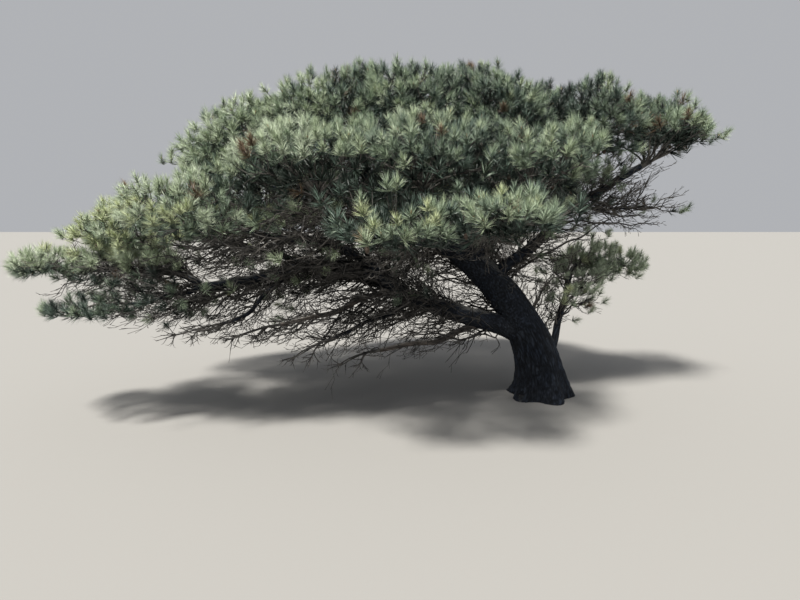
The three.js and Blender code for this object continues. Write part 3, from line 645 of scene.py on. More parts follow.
def dome_tufts(mass, share, spacing, lowest, turn, least, random):
    """One layer of tufts, of which only those stay whose rays run at least so far."""
    outer, dense = share > OUTER, mass.kind == "dense"
    count = max(PAD.least_tufts, round(area_of(mass.half * share, lowest) / spacing ** 2))
    out = unit(dome(count, turn, lowest) + random.normal(0, PAD.scatter, (count, 3)))
    way = unit(out / mass.half) + TWIG.lift * UP + random.normal(0, TUFT.sway, (count, 3))
    way[:, 0] -= TWIG.lean * random.random(count)
    way = unit(way)
    size = random.normal(1, TUFT.spread, count).clip(*TUFT.sizes)
    size = size * (1 + PAD.inner_growth * (1 - share))
    skin, far = skin_places(mass, out)
    tips = mass.middle + (skin - mass.middle) * share
    lobe = crown_noise("lobes", tips)
    lump = lobe * PAD.lump + crown_noise("knobs", tips) * PAD.knob
    lump += random.normal(0, PAD.ragged, count)
    tips += way * (lump * dense - PAD.sunk)[:, None]
    dents, hollows = dents_and_hollows(mass, outer)
    inward = np.ones((count, 1))
    for middle, half, depth in dents:
        inward[in_rounds(((middle, half),), tips)] = depth
    tips = mass.middle + (tips - mass.middle) * inward + DRAWN_IN.get(mass.bough.name, 0)
    foot = tips - way * TUFT.reach * size[:, None]
    overlap = PAD.overlap if outer else PAD.inner_overlap
    shown = keeps_in(mass, tips, -overlap) & (far > least)
    shown &= ~in_rounds(hollows, tips) & in_box(tips, CAD_LOW - BEYOND, CAD_HIGH + BEYOND)
    if mass.bough.name in SPARSE:
        shown &= random.random(count) > SPARSE[mass.bough.name]
    if dense and outer:
        shown &= (random.random(count) > PAD.valley_thin) | (lobe > PAD.valley)
    return np.concatenate([foot, way, size[:, None], np.full((count, 1), share)], 1)[shown]


def tufts_of(mass, random):
    found = []
    for share, spacing, further, further_thin in LAYERS[mass.kind]:
        lowest = mass.lowest + (further_thin if mass.bough.name in THIN_BELOW else further)
        for turned, least in AGAIN if mass.kind == "dense" and share > DEEP else AGAIN[:1]:
            turn = mass.turn + share + turned
            found.append(dome_tufts(mass, share, spacing, lowest, turn, least, random))
    way = unit(np.array(LEADING_WAY))
    for tip in LEADING.get(mass.bough.name, ()):
        foot = np.array(tip) - way * TUFT.reach * LEADING_SIZE
        found.append(np.concatenate([foot, way, (LEADING_SIZE, 1.0)])[None])
    return np.concatenate(found)


def parted(members, places, most):
    """Members parted in two across their widest spread, and again until each group is small."""
    if len(members) <= most:
        return [members]
    spread = places[members].max(0) - places[members].min(0)
    ordered = members[np.argsort(places[members, int(np.argmax(spread))], kind="stable")]
    half = (len(ordered) + 1) // 2
    return parted(ordered[:half], places, most) + parted(ordered[half:], places, most)


def foot_on(points, target, turn):
    """Where on a line of points a side branch to the target leaves, and its way."""
    steps = np.diff(points, axis=0)
    run = np.concatenate([[0], np.cumsum(np.linalg.norm(steps, axis=1))])
    chord = unit(points[-1] - points[0])
    ahead = float(np.dot(target - points[0], chord))
    aside = np.linalg.norm(target - points[0] - chord * ahead)
    low, high = TWIG.ends
    at = np.clip(ahead - TWIG.stagger * aside, low * run[-1], high * run[-1])
    place = np.array([np.interp(at, run, points[:, i]) for i in range(3)])
    way = unit(steps[min(int(np.searchsorted(run, at)) - 1, len(steps) - 1)])
    return place, unit(way + turn * unit(target - place))


def branch_to(kind, parent, feet, rule, widest, stray):
    """Adds a branch from a line of points towards some tufts, and gives its points."""
    middle = feet.mean(0)
    root, leave = foot_on(parent, middle, rule.turn)
    tip = root + (middle - root) * rule.reach
    points = curve_to(root, leave, tip, unit(middle - root + stray), rule.points)
    radius = min(TWIG.radius * len(feet) ** TWIG.share, widest)
    add_line(kind, points, np.linspace(radius, radius * rule.taper, rule.points), rule.sides)
    return points


def twig_to(mass, branchlet, tuft):
    """The twig that carries one tuft, or a bare one: its points and radii."""
    foot, leave = foot_on(branchlet, tuft[FOOT], BRANCHLET.turn)
    tip = tuft[FOOT] + tuft[WAY] * TUFT.shoot * tuft[SIZE]
    if mass.kind == "bare":
        curve = curve_to(foot, leave, tuft[FOOT], tuft[WAY], TWIG.points)
        return curve, TWIG.radius * np.array(TWIG.bare)
    if tuft[OUT] < OUTER:
        return np.array((foot, tip)), TWIG.radius * np.array(TWIG.deep)
    return curve_to(foot, leave, tip, tuft[WAY], TWIG.points), TWIG.radius * np.array(TWIG.outer)


def grow_branches(mass, tufts, random):
    """Stem, branches to groups of tufts, branchlets to smaller groups and a twig to each tuft."""
    kind = "leeward" if mass.kind == "bare" else "live"
    feet, start, way = tufts[:, FOOT], mass.bough.points[3], mass.bough.arrive
    reach = max(PAD.stem_least, PAD.stem * np.linalg.norm(feet.mean(0) - start))
    thick = float(mass.bough.radius_at(1.0))
    stem = np.linspace(start - way * STEM.buried, start + way * reach, STEM.points)
    add_line(kind, stem, np.linspace(thick, thick * STEM.taper, STEM.points), STEM.sides)
    for group in parted(np.arange(len(feet)), feet, BRANCH.most):
        stray = random.normal(0, BRANCH.stray, 3)
        branch = branch_to(kind, stem, feet[group], BRANCH, thick * WIDEST, stray)
        for few in parted(group, feet, BRANCHLET.most):
            branchlet = branch_to(kind, branch, feet[few], BRANCHLET, thick * WIDEST, 0)
            for one in few:
                add_line(kind, *twig_to(mass, branchlet, tufts[one]), TWIG.sides)


tuft_rows = []
for order, mass in enumerate(masses):
    random = seeded(order)
    tufts = tufts_of(mass, random)
    grow_branches(mass, tufts, random)
    if mass.kind != "bare":
        tuft_rows.append(tufts)


# The lattice of bare twigs that stand on the boughs

# Rows of sprays: the limb, how many to the metre, from where to where on it, their length in metres, how
# much they sweep along X and rise, the sides of the limb they stand on in degrees (0 and 180 level, 90
# below), and the share of their branches that end in needles.
BELOW = (-36, 216)
AROUND = (0, 360)
ABOVE = (-170, -10)
LATTICE = (
    ("trunk", 52, (0.4, 0.99), (0.6, 1.3), (-0.4, -0.1), (-60, 100), 0.0),
    ("trunk", 34, (0.24, 0.66), (0.4, 0.95), (0.45, 0.12), (-110, 10), 0.03),
    ("low", 20, (0.18, 0.99), (1.0, 1.9), (-0.8, -0.15), BELOW, 0.0),
    ("low", 34, (0.5, 0.99), (0.5, 1.1), (-0.4, 0.22), ABOVE, 0.05),
    ("long", 22, (0.03, 0.99), (0.7, 1.4), (-0.9, -0.02), (0, 180), 0.03),
    ("left_tip", 38, (0.02, 0.92), (0.35, 0.75), (-0.5, -0.22), BELOW, 0.14),
    ("left_tip", 44, (0.1, 0.85), (0.28, 0.55), (-0.45, 0.16), ABOVE, 0.32),
    ("left_low", 46, (0.05, 0.95), (0.35, 0.75), (-0.6, 0.12), AROUND, 0.16),
    ("left_upper", 26, (0.05, 0.99), (0.4, 0.8), (-0.6, 0.02), AROUND, 0.14),
    ("left_rear", 20, (0.08, 0.99), (0.7, 1.4), (-0.75, -0.08), BELOW, 0.05),
    ("rising", 22, (0.05, 0.99), (0.7, 1.5), (-0.8, -0.06), BELOW, 0.06),
    ("front_left", 34, (0.05, 0.99), (0.6, 1.3), (-0.7, -0.02), BELOW, 0.14),
    ("leader", 16, (0.06, 0.99), (0.6, 1.2), (-0.6, -0.02), BELOW, 0.08),
    ("shoulder", 16, (0.06, 0.99), (0.5, 1.0), (-0.6, 0.0), BELOW, 0.08),
    ("drooping", 16, (0.1, 0.99), (0.55, 1.05), (-0.85, -0.1), BELOW, 0.0),
    ("hanging", 16, (0.12, 0.99), (0.5, 1.0), (-0.85, -0.1), BELOW, 0.0),
    ("trailing", 18, (0.1, 0.99), (0.45, 0.9), (-0.85, -0.04), BELOW, 0.0),
    ("dead", 7, (0.4, 0.99), (0.25, 0.6), (-0.75, -0.06), BELOW, 0.0),
    ("windward", 30, (0.04, 0.6), (0.4, 0.95), (0.3, -0.08), (0, 180), 0.02),
    ("windward", 34, (0.15, 0.8), (0.4, 0.9), (0.1, 0.1), ABOVE, 0.24),
    ("windward", 14, (0.5, 0.92), (0.35, 0.7), (0.4, 0.2), BELOW, 0.0),
    ("windward_low", 46, (0.12, 0.99), (0.35, 0.85), (0.6, 0.42), AROUND, 0.0),
    ("side", 38, (0.36, 0.99), (0.45, 1.0), (0.6, 0.04), AROUND, 0.3),
    ("near_left", 24, (0.45, 0.99), (0.35, 0.8), (-0.3, -0.05), BELOW, 0.0),
    ("near_right", 24, (0.5, 0.99), (0.35, 0.7), (-0.1, -0.03), BELOW, 0.0),
    ("far_left", 26, (0.06, 0.9), (0.6, 1.2), (-0.55, -0.45), BELOW, 0.0),
    ("far_right", 22, (0.06, 0.9), (0.5, 1.0), (-0.3, -0.4), BELOW, 0.0),
    ("rear", 20, (0.06, 0.99), (0.6, 1.2), (-0.35, -0.2), BELOW, 0.06),
    ("front", 34, (0.2, 0.99), (0.45, 1.0), (-0.2, 0.1), ABOVE, 0.36),
    ("front_right", 30, (0.1, 0.99), (0.45, 1.0), (0.06, 0.1), ABOVE, 0.36),
    ("crown", 26, (0.25, 0.9), (0.4, 0.9), (0.0, 0.0), AROUND, 0.4),
    ("crest", 22, (0.2, 0.9), (0.4, 0.9), (-0.1, 0.0), AROUND, 0.4),
)
OTHERS = (10, (0.1, 0.99), (0.4, 0.9), (-0.3, -0.02), BELOW, 0.06)
LEEWARD = ("low", "long", "left_tip", "left_low", "left_upper", "left_rear", "rising", "drooping",
           "hanging", "trailing", "dead")
SPRAY = Named(
    radius=0.0155,
    radii=(0.65, 1.35),  # from the thinnest to the thickest, for that
    grown=(1.6, 0.8),  # thicker with length up to the first, by the power of the second
    branches=(3.5, 5.0),  # how many, and how many more for each metre
    twigs=2, long_twigs=3,
    long=1.0,  # metres from which a spray's branches have more twigs
    points={"leeward": (7, 4, 2), "inner": (7, 3, 2)},  # on it, its branches and their twigs
    thinnest=0.0030,
    last=0.995, angles=(26, 62), flat=0.75, aside=0.50, ahead=0.35, stray=0.27,
    foot=0.6,  # where it starts, for the limb's radius
    early=0.45,  # how much of its length follows the way that it leaves
    hang=(0, 0.15), crook=0.15, taper=0.26,
    sweep=0.5,  # how much its branches follow its sweep
    rise=0.10,  # and how much more they rise
    margin=0.16,  # from the solids' box to its furthest point
    branch=((20, 52), (0.22, 0.52)),  # angles and lengths of its branches, for what they grow on
    twig=((22, 60), (0.30, 0.60)),
)

SIDE = Named(
    jitter=(0.1, 0.9), first=0.10, stretch=0.86, tilt=0.55, long=1.15,
    shorter=0.6,  # how much shorter they are towards the end
    ahead=0.9, aside=0.28, stray=0.29, early=0.5, radius=0.62, taper=0.38, crook=0.28,
)

# Tufts on sprays. Those so far inside the crown count as deep, and this far out, which deals them the
# inner tufts' darker shades: painted shade.
SPRAY_TUFT = Named(size=0.95, spread=0.1, sizes=(0.7, 1.2), deep=-0.22, out=0.7)

# How low the sprays may hang, in height over where along X.
HANG = ((-7.0, 1.5), (-5.0, 1.28), (-4.2, 1.08), (-3.4, 0.88), (-2.4, 0.8), (-1.0, 0.95), (0.2, 0.95),
        (1.5, 1.2))

# Single bare sticks: the limb, where on it, the way it leaves, its tip, its radius at the foot and how many
# branches its outer end forks into.
STICKS = (
    ("trunk", 0.56, (24, 38), (1.13, 0.5, 2.7), 0.024, 5),
    ("windward", 0.46, (-10, -6), (1.62, -0.1, 2.62), 0.02, 7),
)
STICK = Named(
    crook=0.05, taper=0.35, twigs=4, sides=4,
    forked=4,  # the point of its line from which it has branches
    points=(9, 4, 3),  # on a stick, on its branches and on their twigs
    rise=(0.2, 0.1), branch=((25, 60), (0.25, 0.55)), twig=((25, 55), (0.30, 0.60)),
)


def bent_lines(start, way, end, arrive, points, crook, random):
    """Curves from many starts to their ends, each with crooks of its own."""
    reach = np.linalg.norm(end - start, axis=1, keepdims=True) / 3
    line = np.stack([bezier(start, start + way * reach, end - arrive * reach, end, np.full(len(start), t))
                     for t in np.linspace(0, 1, points)], 1)
    line[:, 1:-1] += random.normal(0, crook, line[:, 1:-1].shape) * reach[:, None]
    return line


def side_twigs(line, radii, many, angles, lengths, points, sweep, random):
    """Twigs that stand on both sides of each line, swept forward: their lines and radii."""
    count, last = len(line), line.shape[1] - 1
    share = (np.arange(many) + random.uniform(*SIDE.jitter, (count, many))) / many * SIDE.stretch
    share = share + SIDE.first
    at = share * last
    low = at.astype(int).clip(0, last - 1)
    rows = np.arange(count)[:, None]
    part = at - low
    start = line[rows, low] * (1 - part[..., None]) + line[rows, low + 1] * part[..., None]
    ahead = unit(line[rows, low + 1] - line[rows, low])
    aside = unit(np.cross(ahead, UP + random.normal(0, SIDE.tilt, start.shape)))
    aside *= np.where(np.arange(many) % 2, 1, -1)[None, :, None]
    angle = np.radians(random.uniform(*angles, (count, many, 1)))
    way = unit(ahead * np.cos(angle) + aside * np.sin(angle))
    whole = np.linalg.norm(line[:, -1] - line[:, 0], axis=1)[:, None]
    length = whole * random.uniform(*lengths, (count, many)) * (SIDE.long - SIDE.shorter * share)
    arrive = ahead * SIDE.ahead + aside * SIDE.aside + sweep
    arrive = unit(arrive + random.normal(0, SIDE.stray, start.shape))
    end = start + (SIDE.early * way + (1 - SIDE.early) * arrive) * length[..., None]
    thick = (radii[rows, low] * (1 - part) + radii[rows, low + 1] * part) * SIDE.radius
    flat = [value.reshape(-1, 3) for value in (start, way, end, arrive)]
    made = bent_lines(*flat, points, SIDE.crook, random)
    return made, thick.reshape(-1, 1) * np.linspace(1, SIDE.taper, points)


def spray_tufts(branches, random):
    """Tufts on the ends of branches, darker where they are deep inside the crown: painted shade."""
    foot, ahead = branches[:, -1], unit(branches[:, -1] - branches[:, -2])
    way = unit(ahead + TWIG.lift * UP + random.normal(0, TUFT.sway, foot.shape))
    size = random.normal(SPRAY_TUFT.size, SPRAY_TUFT.spread, (len(foot), 1)).clip(*SPRAY_TUFT.sizes)
    out = np.where(outside_crown(foot) < SPRAY_TUFT.deep, SPRAY_TUFT.out, 1.0)[:, None]
    return np.concatenate([foot, way, size, out], 1)


def row_of_sprays(limb, per_metre, stretch, lengths, sweep, sides, leafy, random):
    """One row of sprays on a limb, each with branches and twigs. Gives the tufts that some end in."""
    first, last = stretch
    lean, rise = sweep
    kind = "leeward" if limb.name in LEEWARD else "inner"
    most_points, points, least_points = SPRAY.points[kind]
    count = max(2, round(limb.length * (last - first) * per_metre))
    t = np.linspace(first, last, count) + random.uniform(-1, 1, count) / count
    t = t.clip(first, SPRAY.last)
    ahead = limb.tangent(t)
    turned = np.radians(random.uniform(*sides, count))[:, None]
    level = unit(np.cross(ahead, UP))
    over = np.cross(level, ahead)
    aside = unit(np.cos(turned) * level - SPRAY.flat * np.sin(turned) * over)
    angle = np.radians(random.uniform(*SPRAY.angles, count))[:, None]
    way = unit(ahead * np.cos(angle) + aside * np.sin(angle))
    arrive = SPRAY.aside * aside + SPRAY.ahead * ahead + (lean, 0, rise)
    arrive = unit(arrive + random.normal(0, SPRAY.stray, (count, 3)))
    length = random.uniform(*lengths, count)[:, None]
    start = limb.along(t) + aside * (limb.radius_at(t) * SPRAY.foot)[:, None]
    end = start + (SPRAY.early * way + (1 - SPRAY.early) * arrive) * length
    lowest = np.interp(end[:, 0], *zip(*HANG)) + random.uniform(*SPRAY.hang, count)
    end[:, 2] = np.maximum(end[:, 2], lowest)
    end = end.clip(CAD_LOW + SPRAY.margin, CAD_HIGH - SPRAY.margin)
    main = bent_lines(start, way, end, arrive, most_points, SPRAY.crook, random)
    longest, power = SPRAY.grown
    thick = SPRAY.radius * np.minimum(length, longest) ** power
    thick = thick * random.uniform(*SPRAY.radii, (count, 1))
    radii = thick * np.linspace(1, SPRAY.taper, most_points)
    mean = sum(lengths) / 2
    least, more = SPRAY.branches
    many = round(least + more * mean)
    twigs = SPRAY.long_twigs if mean > SPRAY.long else SPRAY.twigs
    bend = np.array((lean * SPRAY.sweep, 0, rise * SPRAY.sweep + SPRAY.rise))
    second, thin = side_twigs(main, radii, many, *SPRAY.branch, points, bend, random)
    third, thinner = side_twigs(second, thin, twigs, *SPRAY.twig, least_points, bend, random)
    add_lines(kind, TWIG.sides, ((main, radii), (second, thin), (third, thinner)))
    return spray_tufts(second[random.random(len(second)) < leafy], random)


def add_sticks():
    """The single sticks, crooked and forked towards their ends."""
    many, fewer, fewest = STICK.points
    for order, (name, at, leave, tip, radius, forks) in enumerate(STICKS):
        random = seeded(SEEDS.sticks + order)
        start, end = limbs[name].along(at)[None], np.array(tip)[None]
        main = bent_lines(start, heading(leave)[None], end, unit(end - start), many, STICK.crook, random)
        radii = radius * np.linspace(1, STICK.taper, many)[None]
        outer = main[:, STICK.forked:], radii[:, STICK.forked:]
        up, slightly = (part * UP for part in STICK.rise)
        second, thin = side_twigs(*outer, forks, *STICK.branch, fewer, up, random)
        third, thinner = side_twigs(second, thin, STICK.twigs, *STICK.twig, fewest, slightly, random)
        add_lines("leeward", STICK.sides, ((main, radii), (second, thin), (third, thinner)))


def lattice():
    """Rows of sprays along every limb. Gives their tufts outside the hollows."""
    named = {row[0] for row in LATTICE}
    rows = [*LATTICE, *((name, *OTHERS) for name in limbs if name not in named)]
    found = []
    for order, (name, *row) in enumerate(rows):
        found.append(row_of_sprays(limbs[name], *row, seeded(SEEDS.sprays + order)))
    found = np.concatenate(found)
    return found[~in_rounds((GAP, *HOLLOWS), found[:, FOOT])]


tufts = np.concatenate([*tuft_rows, lattice()])
add_sticks()


# Needles

def tuft_needles(tufts, pairs, width, random):
    """Each tuft's needles stand round its shoot in pairs, steep at the foot and straight on at the tip.
    A needle is a long face that narrows to its tip, and the two of a pair share their foot."""
    start, axis, size = tufts[:, None, FOOT], tufts[:, None, WAY], tufts[:, SIZE][:, None]
    shape = (len(tufts), pairs)
    back = random.random(shape) ** TUFT.crowd
    polar = TUFT.tip_angle + (TUFT.foot_angle - TUFT.tip_angle) * back
    polar = np.radians(polar + random.normal(0, TUFT.stray, shape))[..., None]
    around = random.uniform(0, 2 * math.pi, shape)[..., None]
    side, third = sides_of(axis)
    way = np.cos(polar) * axis + np.sin(polar) * (np.cos(around) * side + np.sin(around) * third)
    foot = start + axis * (TUFT.shoot * size * (1 - back * TUFT.along))[..., None]
    long = (TUFT.needle * size * random.uniform(*TUFT.needles, shape))[..., None]
    flat = unit(np.cross(way, random.normal(0, 1, shape + (3,))))
    apart = unit(np.cross(way, random.normal(0, 1, shape + (3,)))) * TUFT.fork
    wide = width / 2 * (1 - TUFT.grown + TUFT.grown * size[..., None])
    one = foot + (way + apart + TUFT.droop) * long
    two = foot + (way - apart + TUFT.droop) * long * TUFT.second
    places = np.stack([foot - flat * wide, foot + flat * wide, one, two], 2).reshape(-1, 3)
    first = 4 * np.arange(len(places) // 4)[:, None]
    return places, np.concatenate([first + (0, 1, 2), first + (1, 0, 3)], 1).reshape(-1, 3)


# Candles at the tips of the shoots, and cones at the feet of some tufts

CANDLE = Named(
    share=0.18, length=0.048, lengths=(0.6, 1.3), radius=0.0075, seat=0.9, sides=4,
    profile=((0, 0.8), (0.5, 1.0), (1.0, 0.15)),
)
CONE = Named(
    share=0.022,
    depth=-0.12,  # how far outside the crown's skin they may be
    length=0.082, radius=0.029, sizes=(0.8, 1.15), stray=0.6, hang=0.5, back=0.02, down=0.01, sides=8,
    profile=((0, 0.25), (0.14, 0.85), (0.26, 0.74), (0.42, 1.02), (0.56, 0.84), (0.72, 0.84), (0.86, 0.46),
             (1.0, 0.14)),
)


def spindles(foot, axis, length, radius, profile, sides):
    """Small bodies of revolution of one profile: how far along and how wide."""
    side, third = sides_of(axis)
    angle = 2 * math.pi * np.arange(sides) / sides
    rings = []
    for k, (along, wide) in enumerate(profile):
        centre = foot + axis * (length * along)[:, None]
        rings.append(rings_at(centre, radius[:, None] * wide, angle + k * math.pi / sides, side, third))
    return np.stack(rings, 1).reshape(-1, 3), tube_faces(len(foot), len(profile), sides)


def candles(random):
    mine = tufts[(tufts[:, OUT] > OUTER) & (random.random(len(tufts)) < CANDLE.share)]
    size, way = mine[:, SIZE], mine[:, WAY]
    foot = mine[:, FOOT] + way * (TUFT.shoot * size * CANDLE.seat)[:, None]
    length = CANDLE.length * random.uniform(*CANDLE.lengths, len(mine))
    return spindles(foot, way, length, CANDLE.radius * size, CANDLE.profile, CANDLE.sides)


def cones(random):
    chosen = random.random(len(tufts)) < CONE.share
    mine = tufts[chosen & (outside_crown(tufts[:, FOOT]) < CONE.depth)]
    axis = unit(random.normal(0, CONE.stray, (len(mine), 3)) - CONE.hang * UP)
    foot = mine[:, FOOT] - mine[:, WAY] * CONE.back + axis * CONE.down
    size = random.uniform(*CONE.sizes, len(mine))
    return spindles(foot, axis, CONE.length * size, CONE.radius * size, CONE.profile, CONE.sides)


# Materials

def principled(name, colour=None, roughness=0.6, shine=0.4):
    made = bpy.data.materials.new(name)
    made.use_nodes = True
    shader = made.node_tree.nodes["Principled BSDF"]
    if colour is not None:
        shader.inputs["Base Color"].default_value = (*colour, 1)
    shader.inputs["Roughness"].default_value = roughness
    shader.inputs["Specular IOR Level"].default_value = shine
    return made


def node_out(tree, kind, out, inputs=None, **settings):
    """Adds a node, with values or other nodes' outputs for its inputs, and gives one of its outputs."""
    node = tree.nodes.new(f"ShaderNode{kind}")
    for key, value in settings.items():
        setattr(node, key, value)
    for key, value in (inputs or {}).items():
        if isinstance(value, bpy.types.NodeSocket):
            tree.links.new(value, node.inputs[key])
        else:
            node.inputs[key].default_value = value
    return node.outputs[out]


def ramp(tree, stops, value):
    colour = node_out(tree, "ValToRGB", "Color", {"Fac": value})
    elements = colour.node.color_ramp.elements
    while len(elements) < len(stops):
        elements.new(0.5)
    for element, (place, shade) in zip(elements, stops):
        element.position = place
        element.color = (*shade, 1)
    return colour


def surface(tree, colour, height, strength, distance):
    """Gives a material its colour and the bumps of a height."""
    shader = tree.nodes["Principled BSDF"]
    bump = {"Height": height, "Strength": strength, "Distance": distance}
    tree.links.new(colour, shader.inputs["Base Color"])
    tree.links.new(node_out(tree, "Bump", "Normal", bump), shader.inputs["Normal"])


def bark_material(name, plate_stops, tint_stops, lichen_and_top_light):
    """Plates and furrows by the mesh's values, fine grain, broad tints, and lichen and painted light on
    top.
    """
    made = principled(name, roughness=0.92, shine=0.25)
    tree = made.node_tree
    grain = node_out(tree, "Attribute", "Vector", attribute_name="grain")
    furrow = node_out(tree, "Attribute", "Fac", attribute_name="furrow")
    along = node_out(tree, "Mapping", "Vector", {"Vector": grain, "Scale": (1, 1, 0.22)})
    fine = node_out(tree, "TexNoise", "Fac", {"Vector": along, "Scale": 46, "Detail": 7, "Roughness": 0.65})
    broad = node_out(tree, "TexNoise", "Fac", {"Vector": grain, "Scale": 3.2, "Detail": 4})
    # The grain deepens a furrow, or fills it, by up to a quarter.
    depth = node_out(tree, "Math", 0, {0: fine, 1: 0.5, 2: -0.25}, operation="MULTIPLY_ADD")
    total = node_out(tree, "Math", 0, {0: furrow, 1: depth}, operation="ADD")
    # The plates' colour, darker down the furrows: partly the bark's own, partly painted shade.
    tinted = {"Factor": 1, "A": ramp(tree, plate_stops, total), "B": ramp(tree, tint_stops, broad)}
    wood = node_out(tree, "Mix", "Result", tinted, data_type="RGBA", blend_type="MULTIPLY")
    # Pale lichen, also painted light on the upper sides, hides up to three quarters of the wood on what
    # faces up.
    upward = node_out(tree, "SeparateXYZ", "Z", {0: node_out(tree, "NewGeometry", "Normal")})
    lit_top_cover = node_out(tree, "Math", 0, {0: upward, 1: broad}, operation="MULTIPLY")
    patches = ramp(tree, ((0.30, (0, 0, 0)), (0.62, (0.75, 0.75, 0.75))), lit_top_cover)
    mixed = {"Factor": patches, "A": wood, "B": (*lichen_and_top_light, 1)}
    colour = node_out(tree, "Mix", "Result", mixed, data_type="RGBA")
    surface(tree, colour, fine, strength=0.55, distance=0.006)
    return made


def twig_material(name, dark, light):
    made = principled(name, roughness=0.85, shine=0.25)
    tree = made.node_tree
    place = node_out(tree, "TexCoord", "Object")
    spots = node_out(tree, "TexNoise", "Fac", {"Vector": place, "Scale": 9, "Detail": 5})
    colour = ramp(tree, ((0.35, dark), (0.68, light)), spots)
    surface(tree, colour, spots, strength=0.4, distance=0.002)
    return made


# Dark blue-grey plates: the bark's own dark grey, darker and bluer as painted shade. The last colour is the
# lichen, partly painted light on the upper sides.
bark = bark_material(
    "bark",
    ((0.0, (0.036, 0.045, 0.062)), (0.40, (0.0172, 0.0222, 0.031)), (1.0, (0.0046, 0.0058, 0.0082))),
    ((0.3, (0.80, 0.85, 0.95)), (0.7, (1.08, 1.02, 0.95))),
    (0.30, 0.295, 0.275),
)
dead_wood = bark_material(
    "dead_wood",
    ((0.0, (0.17, 0.155, 0.14)), (0.45, (0.105, 0.094, 0.086)), (1.0, (0.028, 0.025, 0.022))),
    ((0.3, (0.85, 0.86, 0.88)), (0.7, (1.05, 1.0, 0.95))),
    (0.36, 0.34, 0.31),
)
live_twig = twig_material("live_twig", (0.021, 0.020, 0.020), (0.140, 0.131, 0.119))
# The bare twigs' own dark grey, darker still as painted shade of the lattice under the crown.
bare_twig = twig_material("bare_twig", (0.018, 0.018, 0.018), (0.110, 0.104, 0.097))
candle_skin = twig_material("candle", (0.30, 0.21, 0.13), (0.50, 0.40, 0.27))
cone_skin = twig_material("cone", (0.045, 0.034, 0.027), (0.105, 0.080, 0.062))

# Shades of needles from dark to light: base colour, share of the outer tufts and share of the inner ones.
# The inner tufts take only the darker ones, painted shade inside the crown.
SHADES = {
    "deep": ((0.036, 0.055, 0.044), 0.08, 0.5),
    "blue_green": ((0.1, 0.145, 0.116), 0.1, 0.28),
    "grey_green": ((0.2, 0.262, 0.192), 0.16, 0.16),
    "sage": ((0.3, 0.378, 0.262), 0.21, 0.06),
    "soft_green": ((0.395, 0.472, 0.318), 0.23, 0.0),
    "pale": ((0.515, 0.595, 0.44), 0.15, 0.0),
    "fresh": ((0.5, 0.56, 0.335), 0.07, 0.0),
}

# The lit fringe at the lower front, painted light with fresh growth: how many of its tufts have shades of
# its own, which, and how often.
FRONT = Named(share=0.8, shades=("fresh", "soft_green", "sage"), parts=(0.20, 0.36, 0.44))
FRONT_LOW, FRONT_HIGH = (-3.4, -9, 0), (9, -1.9, 3.0)
DRY = Named(colour=(0.170, 0.118, 0.072), share=0.014, patches=0.3, more=3)  # more of them in some patches

# How much the lobe patches, finer ones, chance and depth count for a tuft's shade, and what is added
# between two corners, for the parts of the crown that are lighter or darker. Painted light and shade:
# lobes lighter and the valleys between them darker, deep tufts darker, and at the left end and the side
# mass parts lighter where the crown shades them. The fourth part, low at the left end, is darker.
SHADING = Named(lobes=0.68, fine=0.35, chance=0.30, deep=-1.2)
PARTS = (
    (0.42, (-9, -9, 0), (-3.1, 9, 9)),
    (0.33, (-9, -9, 0), (-3.8, 9, 9)),
    (1.15, (-9, -9, 2.25), (-3.9, 9, 2.9)),
    (-1.10, (-9, -9, 0), (-4.6, 9, 2.05)),
    (1.0, (0.2, -9, 0), (9, 9, 2.6)),
)


def dealt_shades(tufts, random):
    """Which shade each tuft has: like patches, and painted light and shade with the outer tufts lighter."""
    place = tufts[:, FOOT]
    value = SHADING.lobes * crown_noise("lobes", place) + SHADING.fine * crown_noise("fine", place)
    value += random.normal(0, SHADING.chance, len(tufts)) + SHADING.deep * (tufts[:, OUT] < DEEP)
    for more, low, high in PARTS:
        value += more * in_box(place, low, high)
    outer = tufts[:, OUT] > OUTER
    dealt = np.zeros(len(tufts), int)
    # The inner tufts are dealt only the darker shades: painted shade inside the crown.
    for which, column in ((outer, 1), (~outer, 2)):
        share = np.cumsum([row[column] for row in SHADES.values()])
        rank = np.argsort(np.argsort(value[which])) / which.sum() * share[-1]
        dealt[which] = np.searchsorted(share, rank, side="right").clip(0, len(SHADES) - 1)
    lit = in_box(place, FRONT_LOW, FRONT_HIGH) & outer & (random.random(len(tufts)) < FRONT.share)
    shades = [list(SHADES).index(name) for name in FRONT.shades]
    dealt[lit] = random.choice(shades, lit.sum(), p=FRONT.parts)
    often = np.where(crown_noise("dry", place) > DRY.patches, DRY.more, 1)
    dealt[random.random(len(tufts)) < DRY.share * often] = len(SHADES)
    return dealt


# Pieces

needle_nodes = [mass.node for mass in masses if mass.kind != "bare"]
bare_nodes = [mass.node for mass in masses if mass.kind == "bare"]

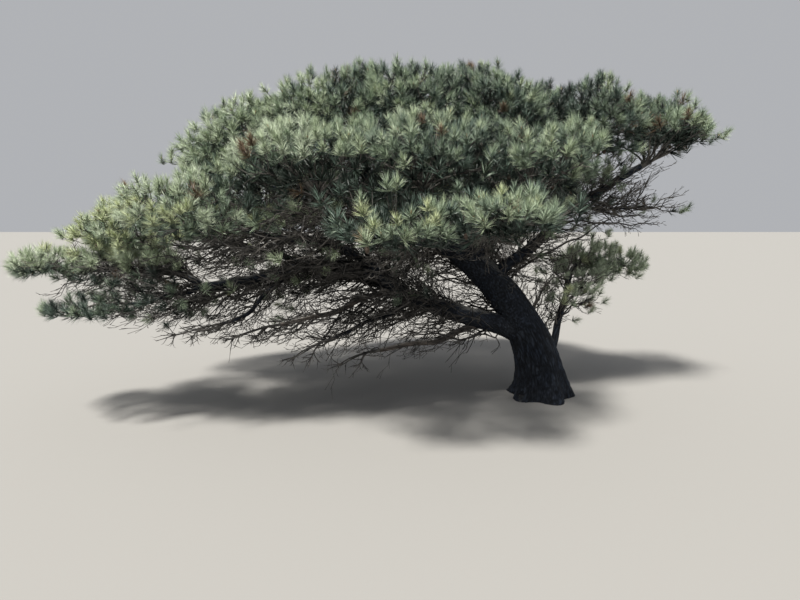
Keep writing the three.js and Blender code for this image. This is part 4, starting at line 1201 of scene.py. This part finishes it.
live_limbs = [name for name in LIMBS if name not in DEAD_LIMBS]
for name, its_limbs, slot, material in (
        ("trunk_bark", ["trunk"], "bark", bark), ("bough_bark", live_limbs, "bark", bark),
        ("dead_boughs", DEAD_LIMBS, "dead_wood", dead_wood)):
    nodes = [OTHER_NODES.get(limb, f"{limb}_bough") for limb in its_limbs]
    add_piece(name, nodes, material, limb_skins(its_limbs))
add_piece("twigs", needle_nodes, live_twig, tubes("live"))
add_piece("leeward_twigs", bare_nodes, bare_twig, tubes("leeward"))
add_piece("inner_twigs", needle_nodes, live_twig, tubes("inner"))
add_piece("candles", needle_nodes, candle_skin, candles(seeded(SEEDS.candles)))
add_piece("cones", needle_nodes, cone_skin, cones(seeded(SEEDS.cones)))

dealt = dealt_shades(tufts, seeded(SEEDS.shades))
inner = tufts[:, OUT] < OUTER
colours = {name: row[0] for name, row in SHADES.items()} | {"dry": DRY.colour}
for k, (name, colour) in enumerate(colours.items()):
    parts = []
    for which, pairs, width in ((~inner, TUFT.pairs, TUFT.width),
                                (inner, TUFT.inner_pairs, TUFT.inner_width)):
        random = seeded(SEEDS.needles + k, which is inner)
        parts.append(tuft_needles(tufts[(dealt == k) & which], pairs, width, random))
    material = principled(f"needles_{name}", colour, roughness=0.42, shine=0.45)
    add_piece(f"needles_{name}", needle_nodes, material, joined(parts))

# Floor, lights and camera

FLOOR = 90

floor_mesh = bpy.data.meshes.new("floor")
corners = [(-FLOOR, -FLOOR, 0), (FLOOR, -FLOOR, 0), (FLOOR, FLOOR, 0), (-FLOOR, FLOOR, 0)]
floor_mesh.from_pydata(corners, [], [(0, 1, 2, 3)])
floor_mesh.materials.append(principled("floor", (0.285, 0.28, 0.27), roughness=0.9, shine=0.1))
in_scene("floor", floor_mesh)

world = bpy.data.worlds.new("studio")
world.use_nodes = True
background = world.node_tree.nodes["Background"].inputs
background["Color"].default_value = (0.84, 0.86, 0.90, 1)
background["Strength"].default_value = 0.52
bpy.context.scene.world = world

sun = bpy.data.lights.new("key", "SUN")
sun.energy = 6.7
sun.angle = math.radians(9)
sun.color = (1.0, 0.965, 0.90)
in_scene("key", sun).rotation_euler = (math.radians(24), math.radians(-14), 0)

lens = bpy.data.cameras.new("camera")
lens.lens = 27
lens.sensor_width = 36
camera = in_scene("camera", lens)
camera.location = (-2.17, -9.0, 2.76)
camera.rotation_euler = (math.radians(90 - 8.06), 0, 0)
bpy.context.scene.camera = camera
bpy.context.scene.view_settings.view_transform = "Standard"
